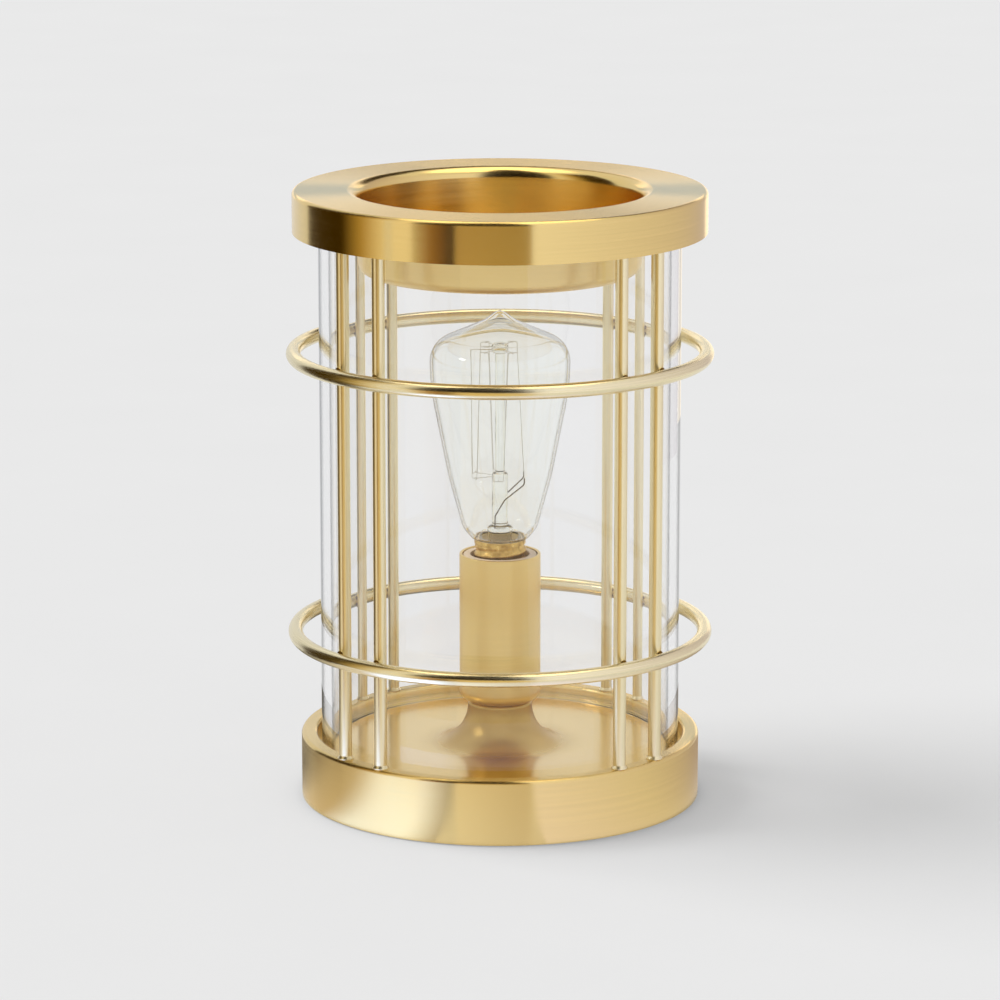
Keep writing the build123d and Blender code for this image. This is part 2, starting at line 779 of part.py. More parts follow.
keep("bulb_cap", bulb_cap)

# Lamp glass: an even wall from the neck to the crown, closed by the exhaust tip
lamp_bottom = cap_top - lamp_neck_length
lamp_wall = [
    (lamp_neck_radius, lamp_bottom, 0),
    (lamp_neck_radius, cap_top + thread_clearance, 0),
    (lamp_flare_radius, cap_top + lamp_flare_height, lamp_flare_rounding),
    (lamp_foot_radius, cap_top + lamp_foot_height, lamp_foot_rounding),
    (lamp_cone_radius, cap_top + lamp_cone_height, lamp_cone_rounding),
    (lamp_radius, cap_top + lamp_cheek_height, lamp_cheek_rounding),
    (lamp_radius, cap_top + lamp_shoulder_height, lamp_shoulder_rounding),
    (lamp_crown_radius, cap_top + lamp_crown_height, lamp_crown_rounding),
]
lamp_inside = inset(lamp_wall, lamp_glass_wall)
crown_inside = lamp_inside[-1][1]
with BuildPart() as bulb_envelope:
    revolve(
        outline(
            *lamp_wall,
            (lamp_tip_radius, cap_top + lamp_tip_corner_height, lamp_tip_radius),
            (0, cap_top + lamp_tip_height, 0),
            (0, crown_inside, 0),
            (lamp_inside[-1][0], crown_inside, 0),
            *reversed(lamp_inside[:-1]),
        ),
        axis=Axis.Z,
    )
keep("bulb_envelope", bulb_envelope)

# Lamp stem: flare sealed in the neck, press, tube, rod and button, all glass
stem_flare_radius = lamp_neck_radius - lamp_glass_wall - thread_clearance
press_top = cap_top + stem_press_height
tube_top = cap_top + stem_tube_top
button_top = cap_top + stem_button_top
with BuildPart() as bulb_stem:
    revolve(
        outline(
            (0, lamp_bottom, 0),
            (stem_flare_radius, lamp_bottom, 0),
            (stem_flare_radius, lamp_bottom + lamp_glass_wall, 0),
            (stem_press_radius, lamp_bottom + lamp_neck_length / 2, 0),
            (stem_press_radius, press_top, 0),
            (stem_tube_radius, press_top, 0),
            (stem_tube_radius, tube_top, (stem_tube_radius - stem_rod_radius) / 2),
            (stem_rod_radius, tube_top, 0),
            (stem_rod_radius, button_top - stem_button_height, 0),
            (stem_button_radius, button_top - stem_button_height, stem_button_height / 3),
            (stem_button_radius, button_top, stem_button_height / 3),
            (0, button_top, 0),
        ),
        axis=Axis.Z,
    )
keep("bulb_stem", bulb_stem)

# Filament: from one lead up and down over the support wires to the other lead
support_high = button_top - stem_button_height / 2
support_low = tube_top - wire_radius - (stem_tube_radius - stem_rod_radius) / 2
half_step = (180 - lead_end_angle) / filament_hairpins
high_angles = [lead_end_angle + half_step * (2 * k + 1) for k in range(filament_hairpins)]
low_angles = [lead_end_angle + half_step * 2 * k for k in range(1, filament_hairpins)]
half_bend = degrees(filament_half_bend / filament_cage_radius)
filament_route = [polar(filament_cage_radius, lead_end_angle, support_low)]
for k, high_angle in enumerate(high_angles):
    filament_route.append(polar(filament_cage_radius, high_angle - half_bend, support_high))
    filament_route.append(polar(filament_cage_radius, high_angle + half_bend, support_high))
    if k < len(low_angles):
        filament_route.append(polar(filament_cage_radius, low_angles[k] - half_bend, support_low))
        filament_route.append(polar(filament_cage_radius, low_angles[k] + half_bend, support_low))
filament_route.append(polar(filament_cage_radius, -lead_end_angle, support_low))
with BuildPart() as bulb_filament:
    with BuildLine() as filament_path:
        FilletPolyline(filament_route, radius=filament_bend_radius)
    with BuildSketch(Plane(origin=filament_path.line @ 0, z_dir=filament_path.line % 0)):
        Circle(filament_radius)
    sweep(path=filament_path.line)
keep("bulb_filament", bulb_filament)

with BuildPart() as filament_supports:
    for angles, root, height in (
        (high_angles, stem_button_radius, support_high),
        (low_angles, stem_tube_radius, support_low),
    ):
        for angle in angles:
            start = polar(root, angle, height)
            with BuildSketch(Plane(origin=start, z_dir=polar(1, angle))):
                Circle(wire_radius)
            extrude(amount=filament_cage_radius - filament_radius - root)
keep("filament_supports", filament_supports)

# Lead-in wires: out of the press, leaning to the right, up to the filament's two ends
with BuildPart() as bulb_leads:
    for side, foot_angle in zip((-1, 1), lead_wire_feet):
        foot = (stem_tube_radius + stem_press_radius) / 2
        lead_end = polar(filament_cage_radius, side * lead_end_angle, support_low)
        route = [
            polar(foot, foot_angle, press_top),
            polar(foot, foot_angle, press_top + lead_wire_rise),
            polar(stem_press_radius + lead_wire_radius, side * lead_wire_turn, press_top + lead_wire_knee_height),
            (lead_end[0], lead_end[1], support_low - lead_wire_rise / 2),
            lead_end,
        ]
        with BuildLine() as lead_wire_path:
            FilletPolyline(route, radius=bend_radii(route))
        with BuildSketch(Plane(origin=lead_wire_path.line @ 0, z_dir=lead_wire_path.line % 0)):
            Circle(lead_wire_radius)
        sweep(path=lead_wire_path.line)
keep("bulb_leads", bulb_leads)
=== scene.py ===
"""Scent warmer: spun brass dish and base, wire cage, glass chimney and a clear lamp, on a pale floor."""

import math

import bmesh
import bpy
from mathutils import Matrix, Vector


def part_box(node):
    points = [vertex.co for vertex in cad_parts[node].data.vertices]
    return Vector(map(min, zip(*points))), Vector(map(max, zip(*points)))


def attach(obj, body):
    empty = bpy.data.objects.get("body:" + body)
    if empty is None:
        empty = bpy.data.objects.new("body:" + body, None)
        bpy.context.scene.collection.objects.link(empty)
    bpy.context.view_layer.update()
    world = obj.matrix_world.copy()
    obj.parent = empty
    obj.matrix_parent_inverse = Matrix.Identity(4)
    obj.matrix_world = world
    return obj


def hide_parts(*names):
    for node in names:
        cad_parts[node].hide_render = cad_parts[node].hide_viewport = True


bl_info = {
    "name": "Scent warmer",
    "version": (1, 0, 0),
    "blender": (4, 5, 0),
    "location": "3D View > Sidebar > Warmer",
    "description": "Dresses the scent warmer's brass, glass and lamp, and sets its studio",
    "category": "Object",
}

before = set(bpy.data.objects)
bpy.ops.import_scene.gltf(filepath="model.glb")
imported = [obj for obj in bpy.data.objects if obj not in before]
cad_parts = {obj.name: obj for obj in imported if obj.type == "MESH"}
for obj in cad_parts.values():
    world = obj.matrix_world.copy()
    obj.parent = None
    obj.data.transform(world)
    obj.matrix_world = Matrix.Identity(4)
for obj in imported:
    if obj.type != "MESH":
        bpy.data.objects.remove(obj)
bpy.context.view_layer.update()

MM = 0.001
ROUND = 256  # segments of a large turned piece
FINE_ROUND = 128  # segments of a small one
THREAD_ROUND, THREAD_ROWS = 96, 150  # segments and rows of the lamp's cap
ROD_ROUND, HOOP_ROUND = 48, 40  # segments of a rod, and of a hoop's wire
ARC_STEP = math.radians(7)  # turn of one step of a rounded corner
SHARP_BEND = math.radians(32)  # an edge bent by more stays sharp
GUARD = 0.06 * MM  # from a rounding to the points that keep its neighbours flat
TIGHT = 0.1 * MM  # rounding of a corner folded hard
FIT = 0.02 * MM  # between pieces pressed together
THREAD_FIT = 0.98  # share of the thread's depth that keeps it clear of the shell's
FLAT, STEEP, LEAN = 0.99, 0.5, 0.02  # least share of a normal that makes a face flat, sloping or leaning
BUFF_WIDTH, BUFF_LENGTH = 1.2 * MM, 60 * MM  # traces of a buff, drawn coarser than real so that they show
BRUSH_DEPTH = 0.002 * MM  # relief of brushed, buffed and drawn metal
DRAW_WIDTH = 0.3 * MM  # lines that a die leaves on wire, drawn coarser than real so that they show
AROUND = "around"  # the UV map that runs round and along a turned piece


# Small tools: colours, nodes, outlines and meshes

def srgb(code):
    """The linear colour of an sRGB hex value."""
    channels = [int(code[k:k + 2], 16) / 255 for k in (1, 3, 5)]
    return tuple(c / 12.92 if c <= 0.04045 else ((c + 0.055) / 1.055) ** 2.4 for c in channels)


def size(name, description, millimetres):
    """A length that a user may change, given in millimetres and kept in metres."""
    return bpy.props.FloatProperty(
        name=name, description=description, default=millimetres * MM, min=0.0, precision=5, unit="LENGTH"
    )


def colour(name, description, code):
    """A colour that a user may change, given as an sRGB hex value."""
    return bpy.props.FloatVectorProperty(
        name=name, description=description, default=srgb(code), min=0.0, max=1.0, size=3, subtype="COLOR"
    )


def share(name, description, value):
    """A share from 0 to 1 that a user may change."""
    return bpy.props.FloatProperty(
        name=name, description=description, default=value, min=0.0, max=1.0, subtype="FACTOR"
    )


def angle(name, description, degrees):
    """An angle that a user may change, given in degrees."""
    return bpy.props.FloatProperty(
        name=name, description=description, default=math.radians(degrees), subtype="ANGLE", unit="ROTATION"
    )


def count(name, description, value):
    """A whole number that a user may change."""
    return bpy.props.IntProperty(name=name, description=description, default=value, min=1)


def add_node(tree, kind, links=None, **settings):
    """Adds a node with its settings. links gives each input a value or the socket that feeds it."""
    node = tree.nodes.new(kind)
    for name, value in settings.items():
        setattr(node, name, value)
    for key, value in (links or {}).items():
        if isinstance(value, bpy.types.NodeSocket):
            tree.links.new(value, node.inputs[key])
        else:
            node.inputs[key].default_value = value
    return node


def rounded(corners):
    """The points of an outline whose corners are (radius, height) or (radius, height, rounding)."""
    points = []
    total = len(corners)
    closed = corners[0][0] > 0
    for k, corner in enumerate(corners):
        here = Vector(corner[:2])
        bend = corner[2] if len(corner) > 2 else 0
        if not bend or (not closed and k in (0, total - 1)):
            points.append(here)
            continue
        back = (Vector(corners[k - 1][:2]) - here).normalized()
        ahead = (Vector(corners[(k + 1) % total][:2]) - here).normalized()
        half = back.angle(ahead) / 2
        reach = bend / math.tan(half)
        centre = here + (back + ahead).normalized() * (bend / math.sin(half))
        start, end = here + back * reach, here + ahead * reach
        steps = max(3, math.ceil((math.pi - 2 * half) / ARC_STEP))
        arm, goal = start - centre, end - centre
        turn = arm.angle_signed(goal)
        points.append(start + back * GUARD)
        for n in range(steps + 1):
            a = -turn * n / steps
            points.append(centre + Vector((arm.x * math.cos(a) - arm.y * math.sin(a),
                                           arm.x * math.sin(a) + arm.y * math.cos(a))))
        points.append(end + ahead * GUARD)
    return points


def open_outline(corners):
    """An outline that ends on the axis, and starts on it or away from it, with its corners rounded."""
    padded = [(0, corners[0][1])] + corners if corners[0][0] > 0 else corners
    points = rounded(padded)
    return points[1:] if corners[0][0] > 0 else points


def inset(points, amount):
    """The same outline moved to its left, its first point level and its last along the axis."""
    moved = []
    last = len(points) - 1
    for k, here in enumerate(points):
        back = here - points[k - 1] if k else Vector((0, 1))
        ahead = points[k + 1] - here if k < last else Vector((-1, 0))
        normals = [Vector((-run.y, run.x)).normalized() for run in (back, ahead)]
        middle = (normals[0] + normals[1]).normalized()
        moved.append(here + middle * (amount / middle.dot(normals[0])))
    return moved


def as_object(name, mesh):
    """Puts a finished mesh in the scene as a smooth object, with true corners kept sharp."""
    mesh.polygons.foreach_set("use_smooth", [True] * len(mesh.polygons))
    mesh.set_sharp_from_angle(angle=SHARP_BEND)
    piece = bpy.data.objects.new(name, mesh)
    bpy.context.scene.collection.objects.link(piece)
    return piece


def from_bmesh(name, shape):
    """Turns a bmesh into an object whose faces point outwards."""
    bmesh.ops.recalc_face_normals(shape, faces=shape.faces)
    mesh = bpy.data.meshes.new(name)
    shape.to_mesh(mesh)
    shape.free()
    return as_object(name, mesh)


def joined(name, parts):
    """Several objects as one."""
    shape = bmesh.new()
    for part in parts:
        shape.from_mesh(part.data)
        bpy.data.objects.remove(part)
    return from_bmesh(name, shape)


def turned(name, outline, segments=ROUND, reach=None):
    """Turns an outline round the axis, closed at its poles, with a UV map that runs round and along it.
    reach(radius, height, turn) may give another radius, as on a thread."""
    shape = bmesh.new()
    uv = shape.loops.layers.uv.new(AROUND)
    closed = outline[0][0] > GUARD
    rings, travel, length = [], [], 0.0
    for k, (r, z) in enumerate(outline):
        length += (Vector((r, z)) - Vector(outline[k - 1])).length if k else 0
        travel.append(length)
        if r <= GUARD:
            rings.append([shape.verts.new((0, 0, z))])
            continue
        ring = []
        for n in range(segments):
            a = 2 * math.pi * n / segments
            out = reach(r, z, a) if reach else r
            ring.append(shape.verts.new((out * math.cos(a), out * math.sin(a), z)))
        rings.append(ring)
    steps = list(range(1, len(rings))) + ([0] if closed else [])
    for k in steps:
        low, high = rings[k - 1], rings[k]
        if len(low) == len(high) == 1:
            continue
        v_low, v_high = travel[k - 1], travel[k] if k else length + GUARD
        for n in range(segments):
            m = (n + 1) % segments
            corners = [(low[n % len(low)], n, v_low), (low[m % len(low)], n + 1, v_low)]
            corners += [(high[m % len(high)], n + 1, v_high), (high[n % len(high)], n, v_high)]
            if len(low) == 1:
                corners = [(low[0], n + 0.5, v_low)] + corners[2:]
            elif len(high) == 1:
                corners = corners[:2] + [(high[0], n + 0.5, v_high)]
            face = shape.faces.new([vert for vert, _, _ in corners])
            for loop, (_, u, v) in zip(face.loops, corners):
                loop[uv].uv = (u / segments, v)
    return from_bmesh(name, shape)


def swept(name, points, radius, sides=12):
    """A round wire along a chain of points, with rounded-off closed ends."""
    shape = bmesh.new()
    chain = [Vector(p) for p in points]
    runs = [(b - a).normalized() for a, b in zip(chain, chain[1:])]
    side = runs[0].orthogonal().normalized()
    rings = []
    for k, here in enumerate(chain):
        along = (runs[max(k - 1, 0)] + runs[min(k, len(runs) - 1)]).normalized()
        side = (side - along * side.dot(along)).normalized()
        other = along.cross(side)
        turns = [2 * math.pi * n / sides for n in range(sides)]
        rings.append([shape.verts.new(here + radius * (side * math.cos(a) + other * math.sin(a)))
                      for a in turns])
    for low, high in zip(rings, rings[1:]):
        for n in range(sides):
            m = (n + 1) % sides
            shape.faces.new((low[n], low[m], high[m], high[n]))
    for ring, run, here in ((rings[0], -runs[0], chain[0]), (rings[-1], runs[-1], chain[-1])):
        tip = shape.verts.new(here + run * radius * 0.5)
        for n in range(sides):
            shape.faces.new((ring[n], ring[(n + 1) % sides], tip))
    return from_bmesh(name, shape)


def bent(corners, radius, steps=5):
    """Points along straight runs with corners bent to one radius, or less where a run is short."""
    chain = [Vector(c) for c in corners]
    points = [chain[0]]
    for before, here, after in zip(chain, chain[1:], chain[2:]):
        back, ahead = before - here, after - here
        half = back.angle(ahead) / 2
        reach = min(radius / math.tan(half), 0.45 * back.length, 0.45 * ahead.length)
        start, end = here + back.normalized() * reach, here + ahead.normalized() * reach
        for n in range(steps + 1):
            t = n / steps
            points.append(start * (1 - t) ** 2 + here * 2 * t * (1 - t) + end * t * t)
    points.append(chain[-1])
    return points


def polar(radius, turn, height):
    """A point given by its distance from the axis, its angle in radians and its height."""
    return Vector((radius * math.cos(turn), radius * math.sin(turn), height))


def growing_tree(name, sizes):
    """A Geometry Nodes tree with named inputs and its input node."""
    tree = bpy.data.node_groups.new(name, "GeometryNodeTree")
    for label, kind in sizes.items():
        tree.interface.new_socket(label, in_out="INPUT", socket_type=kind)
    tree.interface.new_socket("Geometry", in_out="OUTPUT", socket_type="NodeSocketGeometry")
    return tree, add_node(tree, "NodeGroupInput")


def end_tree(tree, geometry, material):
    """Ends a tree in real geometry with its material."""
    real = add_node(tree, "GeometryNodeRealizeInstances", {0: geometry})
    painted = add_node(tree, "GeometryNodeSetMaterial", {"Geometry": real.outputs[0], "Material": material})
    add_node(tree, "NodeGroupOutput", {0: painted.outputs[0]})


def grown(name, tree, values):
    """Runs a tree with its sizes and gives the result as a plain mesh object."""
    holder = bpy.data.objects.new(name, bpy.data.meshes.new(name))
    bpy.context.scene.collection.objects.link(holder)
    modifier = holder.modifiers.new(tree.name, "NODES")
    modifier.node_group = tree
    for item in tree.interface.items_tree:
        if item.in_out == "INPUT":
            modifier[item.identifier] = values[item.name]
    graph = bpy.context.evaluated_depsgraph_get()
    mesh = bpy.data.meshes.new_from_object(holder.evaluated_get(graph), depsgraph=graph)
    bpy.data.objects.remove(holder)
    mesh.name = name
    return as_object(name, mesh)


def paint(piece, *materials):
    """Gives a piece its materials. All its faces take the first."""
    piece.data.materials.clear()
    for material in materials:
        piece.data.materials.append(material)


def settle(piece, body, slot, *nodes):
    """Makes a piece ride on its body and stand for its CAD nodes, which it hides; slot is not used."""
    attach(piece, body)
    if nodes:
        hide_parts(*nodes)


def clear_to_light(piece):
    """Lets lamps and soft light through glass, which would shade what it covers as if it were solid."""
    piece.visible_shadow = False
    piece.visible_diffuse = False


# Sizes and colours that a user may change

class WarmerBrass(bpy.types.PropertyGroup):
    """Colours and grain of the brass."""

    spun_colour: colour("Spun brass", "Colour of the dish, the base and the socket cover", "#EED18C")
    wire_colour: colour("Brass wire", "Colour of the rods and the hoops", "#F6E9C0")
    cap_colour: colour("Lamp cap", "Colour of the lamp's rolled cap", "#F0CE80")
    braze_colour: colour("Braze", "Colour of the heat-darkened braze beads", "#7A5A22")
    spun_roughness: share("Spun roughness", "Roughness of the brushed brass", 0.23)
    wire_roughness: share("Wire roughness", "Roughness of the drawn wire", 0.3)
    grain: size("Grain", "Width of the brushing lines, coarser than real so that they show", 0.4)
    spread: size("Grain length", "Length of the brushing lines round the piece", 55.0)


class WarmerDish(bpy.types.PropertyGroup):
    """Sizes of the warming dish."""

    sheet: size("Sheet", "Thickness of the dish's brass", 1.0)
    band: size("Band", "Height of the outer band", 10.85)
    floor_radius: size("Bowl floor", "Radius of the bowl at its floor", 35.6)
    mouth_radius: size("Bowl mouth", "Radius of the bowl at its mouth", 37.2)
    floor_bend: size("Floor bend", "Rounding between the bowl's wall and floor", 2.0)
    mouth_bend: size("Mouth bend", "Rounding of the bowl's lip", 3.0)
    rim_bend: size("Rim bend", "Rounding of the band's upper edge", 1.1)


class WarmerBase(bpy.types.PropertyGroup):
    """Sizes of the base pan and the socket cover."""

    sheet: size("Sheet", "Thickness of the base's brass", 0.9)
    ledge: size("Ledge height", "Height of the ledge that the rods stand on", 17.4)
    ledge_width: size("Ledge width", "Width of the ledge", 4.3)
    recess: size("Recess", "Depth of the floor below the ledge", 3.4)
    flare: size("Flare", "Radius of the trumpet up to the socket", 10.2)
    neck_radius: size("Neck radius", "Outer radius of the neck under the socket", 8.5)
    neck_bore: size("Neck bore", "Radius of the hole for the threaded nipple", 4.15)
    edge_bend: size("Edge bend", "Rounding of the pressed edges", 1.0)
    inlet_radius: size("Inlet radius", "Radius of the cord hole in the rear wall", 3.7)
    inlet_height: size("Inlet height", "Height of the cord hole's centre", 8.4)
    cover_sheet: size("Cover sheet", "Wall of the socket cover", 0.8)
    cover_bend: size("Cover bend", "Rounding at the socket cover's foot", 3.0)


class WarmerCage(bpy.types.PropertyGroup):
    """Sizes of the wire cage."""

    pairs: count("Pairs", "Pairs of rods round the cage", 4)
    first_pair: angle("First pair", "Direction of the first pair of rods", 45)
    pair_spread: angle("Pair spread", "Angle between the two rods of a pair", 15)
    collar: size("Collar", "How far the weld bead at a rod's foot stands out", 0.45)
    collar_height: size("Collar height", "Height of that bead", 0.8)
    rod_bend: size("Rod end", "Rounding of a rod's upper end", 0.2)
    braze: size("Braze", "Size of the braze beads between rods and hoops", 0.95)
    braze_flat: share("Braze flat", "Thickness of a bead outwards, as a share of its size", 0.6)
    braze_place: share("Braze place", "Height of a bead on the hoop's wire, as a share of its radius", 0.55)


class WarmerGlass(bpy.types.PropertyGroup):
    """Sizes and colours of the chimney and the lamp."""

    chimney_colour: colour("Chimney glass", "Tint of the glass tube", "#FFFFFF")
    lamp_colour: colour("Lamp glass", "Tint of the lamp's glass", "#FEFFFD")
    chimney_wall: size("Chimney wall", "Wall of the glass tube", 2.6)
    edge_bend: size("Edge bend", "Rounding of the tube's fire-polished ends", 0.6)
    lamp_wall: size("Lamp wall", "Wall of the lamp's glass", 0.7)
    neck_step: size("Neck step", "From the cap's rim in to the lamp's neck", 1.35)
    neck_flare: size("Neck flare", "How far the neck widens over the cap's rim", 1.75)
    neck_bend: size("Neck bend", "Rounding of that flare", 2.0)
    foot_radius: size("Lamp foot", "Radius where the lamp starts to widen", 9.85)
    foot_height: size("Foot height", "Height of that place above the cap's rim", 3.2)
    foot_bend: size("Foot bend", "Rounding at that place", 6.0)
    cone_radius: size("Lamp cone", "Radius part way up the cone", 13.6)
    cone_height: size("Cone height", "Height of that place above the cap's rim", 16.9)
    cheek_height: size("Cheek height", "Height above the cap's rim where the lamp is widest", 41.4)
    side_bend: size("Side bend", "Rounding of the lamp's side at the cone and the cheek", 60.0)
    shoulder_height: size("Shoulder height", "Height of the shoulder above the cap's rim", 52.1)
    shoulder_bend: size("Shoulder bend", "Rounding of the shoulder", 7.0)
    crown_radius: size("Crown", "Radius where the crown meets the tip", 4.2)
    crown_height: size("Crown height", "Height of that place above the cap's rim", 58.4)
    crown_bend: size("Crown bend", "Rounding between the crown and the tip", 3.0)
    tip_radius: size("Tip", "Radius of the sealed tip", 1.3)
    tip_height: size("Tip height", "Height of the tip's rounded end", 0.5)
    tip_bend: size("Tip bend", "Rounding of the tip", 1.3)


class WarmerLamp(bpy.types.PropertyGroup):
    """Sizes of the lamp's cap, stem and filament."""

    thread_pitch: size("Pitch", "Pitch of the cap's thread", 2.822)
    thread_depth: size("Thread depth", "Depth of the cap's rolled thread", 0.62)
    cap_wall: size("Cap wall", "Wall of the cap", 0.6)
    rim_height: size("Rim", "Plain height at the cap's rim", 2.2)
    rim_swell: share("Rim swell", "How far that rim stands out, as a share of the thread's depth", 0.7)
    cement_depth: size("Cement", "Depth of the cement between the cap and the glass", 4.0)
    press_height: size("Press", "Height of the stem's pinch above the cap's rim", 3.6)
    press_radius: size("Press radius", "Radius of the stem's pinch", 2.9)
    press_start: size("Press start", "Where the pinch starts, under the cap's rim", 2.0)
    press_thinned: share("Press thinned", "How much the pinch flattens the stem", 0.45)
    press_widened: share("Press widened", "How much the pinch widens the stem", 0.25)
    tube_radius: size("Tube radius", "Radius of the stem's tube", 2.1)
    tube_height: size("Tube height", "Top of the tube above the cap's rim", 17.7)
    rod_radius: size("Rod radius", "Radius of the stem's glass rod", 1.3)
    button_radius: size("Button", "Radius of the button that holds the upper supports", 2.2)
    button_height: size("Button height", "Height of the button", 1.8)
    filament_radius: size("Filament wire", "Radius of the filament's wire", 0.08)
    cage_radius: size("Filament cage", "Distance of the filament from the axis", 7.7)
    hairpin: size("Hairpin", "Half the width of the filament's bends", 1.3)
    support_radius: size("Support wire", "Radius of the support wires", 0.09)
    lead_radius: size("Lead wire", "Radius of the lead-in wires", 0.17)
    hairpins: count("Hairpins", "Times that the filament goes up and down", 5)
    lead_turn: angle("Lead ends", "Angle of the filament's two ends", 35)
    knee_turn: angle("Lead knees", "Angle of the bends in the lead-in wires", 66)


class WarmerStage(bpy.types.PropertyGroup):
    """The studio."""

    pale: colour("Paper", "Colour of the paper under and behind the warmer", "#EAEAEA")
    soft: share("Soft light", "Strength of the light from all round", 0.66)
    key: bpy.props.FloatProperty(
        name="Key light", description="Strength of the key light", default=1.42, min=0.0
    )
    key_turn: angle("Key direction", "Where the key light comes from, from the right round the back", 172)
    key_height: angle("Key height", "Height of the key light above the floor", 48)
    key_width: angle("Key width", "Apparent width of the key light", 42)
    lens: bpy.props.FloatProperty(
        name="Lens", description="Focal length of the camera", default=171.95, min=1.0, unit="CAMERA"
    )
    distance: size("Camera distance", "Distance of the camera in front of the axis", 1224.8)
    camera_height: size("Camera height", "Height of the camera", 354.25)
    tilt: angle("Camera tilt", "Tilt of the camera from straight down", 77.341)


# Finishes

def principled(name, tint, roughness, **sockets):
    """A material with one Principled shader, its tree and that shader."""
    material = bpy.data.materials.new(name)
    material.use_nodes = True
    shader = material.node_tree.nodes["Principled BSDF"]
    shader.inputs["Base Color"].default_value = (*tint, 1)
    shader.inputs["Roughness"].default_value = roughness
    for label, value in sockets.items():
        shader.inputs[label.replace("_", " ")].default_value = value
    return material, material.node_tree, shader


def shaded(tint, factor):
    """The same colour, darker or lighter."""
    return tuple(min(1.0, c * factor) for c in tint)


def mottled(tree, place, scale, detail):
    """A mottle from 0 to 1, at a place that is scaled first."""
    scaled = add_node(tree, "ShaderNodeVectorMath", {0: place, 1: scale}, operation="MULTIPLY")
    noise = add_node(tree, "ShaderNodeTexNoise", {"Vector": scaled.outputs[0], "Scale": 1.0, "Detail": detail})
    return add_node(tree, "ShaderNodeMapRange", {0: noise.outputs[0], 1: 0.3, 2: 0.7}).outputs[0]


def spots(tree, grain, detail=3.0, stretch=(1, 1, 1)):
    """Spots about grain wide, from 0 to 1. stretch makes them longer along an axis."""
    place = add_node(tree, "ShaderNodeTexCoord").outputs["Object"]
    return mottled(tree, place, tuple(1 / (grain * s) for s in stretch), detail)


def from_axis(tree, place):
    """How far a place is from the warmer's axis."""
    level = add_node(tree, "ShaderNodeVectorMath", {0: place, 1: (1, 1, 0)}, operation="MULTIPLY")
    return add_node(tree, "ShaderNodeVectorMath", {0: level.outputs[0]}, operation="LENGTH").outputs["Value"]


def rings_round(tree, width, spread):
    """Lines round the axis, level on a wall and circular on a flat, from 0 to 1."""
    place = add_node(tree, "ShaderNodeTexCoord").outputs["Object"]
    x, y, z = add_node(tree, "ShaderNodeSeparateXYZ", {0: place}).outputs
    line = add_node(tree, "ShaderNodeMath", {0: z, 1: from_axis(tree, place)}, operation="SUBTRACT")
    drawn = add_node(tree, "ShaderNodeCombineXYZ", {0: x, 1: y, 2: line.outputs[0]})
    return mottled(tree, drawn.outputs[0], (1 / spread, 1 / spread, 1 / width), 2.0)


def vary(tree, shader, pattern, tints=None, roughness=None, depth=0.0):
    """Lets a pattern change a surface's colour, its roughness and its relief."""
    if tints:
        low, high = ((*tint, 1) for tint in tints)
        mixed = add_node(tree, "ShaderNodeMix", {0: pattern, 6: low, 7: high}, data_type="RGBA")
        tree.links.new(mixed.outputs[2], shader.inputs["Base Color"])
    if roughness:
        span = add_node(tree, "ShaderNodeMapRange", {0: pattern, 3: roughness[0], 4: roughness[1]})
        tree.links.new(span.outputs[0], shader.inputs["Roughness"])
    if depth:
        relief = add_node(tree, "ShaderNodeBump", {"Height": pattern, "Distance": depth})
        tree.links.new(relief.outputs[0], shader.inputs["Normal"])


def ringed(name, tint, shades, rough, width, spread, relief, smeared=False):
    """A metal whose tint, roughness and relief vary in lines round the axis.
    smeared draws its lights out across the lines."""
    material, tree, shader = principled(name, tint, rough[0], Metallic=1.0)
    lines = rings_round(tree, width, spread)
    vary(tree, shader, lines, [shaded(tint, factor) for factor in shades], rough, relief)
    if smeared:
        shader.inputs["Anisotropic"].default_value = 1.0
        shader.inputs["Anisotropic Rotation"].default_value = 0.25
        tangent = add_node(tree, "ShaderNodeTangent", direction_type="UV_MAP", uv_map=AROUND)
        tree.links.new(tangent.outputs[0], shader.inputs["Tangent"])
    return material


def speckled(name, low, high, rough, grain, detail=3.0, stretch=(1, 1, 1), relief=0.0, **sockets):
    """A material whose tint, roughness and relief vary in spots about grain wide."""
    material, tree, shader = principled(name, high, rough[0], **sockets)
    vary(tree, shader, spots(tree, grain, detail, stretch), (low, high), rough, relief)
    return material


def edged(tree, shader, face, edge, start, end):
    """Tints glass where the eye looks along its wall, between two facings, and leaves it clear elsewhere:
    partly the glass's own colour along the long path, and partly a painted dark outline, as the edge tint is
    near black.
    """
    weight = add_node(tree, "ShaderNodeLayerWeight", {"Blend": 0.5})
    rim = add_node(tree, "ShaderNodeMapRange", {0: weight.outputs["Facing"], 1: start, 2: end})
    tints = {0: rim.outputs[0], 6: (*face, 1), 7: (*edge, 1)}
    mixed = add_node(tree, "ShaderNodeMix", tints, data_type="RGBA")
    tree.links.new(mixed.outputs[2], shader.inputs["Base Color"])


def sleeve(name, low, high):
    """Extruded PVC sleeve: soft shine with faint lengthwise draw marks."""
    return speckled(name, low, high, (0.32, 0.46), 0.25 * MM, stretch=(1, 1, 25), relief=0.004 * MM)


def spun_brass():
    """Brass sheet spun on a lathe and brushed as it turned: lights smear across the lines
    and stay sharp along them."""
    brass = bpy.context.scene.warmer_brass
    rough = (brass.spun_roughness - 0.02, brass.spun_roughness + 0.03)
    return ringed("spun_brass", brass.spun_colour, (0.96, 1.02), rough, brass.grain, brass.spread, 0.0018 * MM,
                  smeared=True)


def faced_brass():
    """The same sheet faced flat on the rim: finer lines, so that lights smear less."""
    brass = bpy.context.scene.warmer_brass
    return ringed("faced_brass", brass.spun_colour, (0.99, 1), (0.19, 0.22), brass.grain / 2, brass.spread,
                  0.0006 * MM, smeared=True)


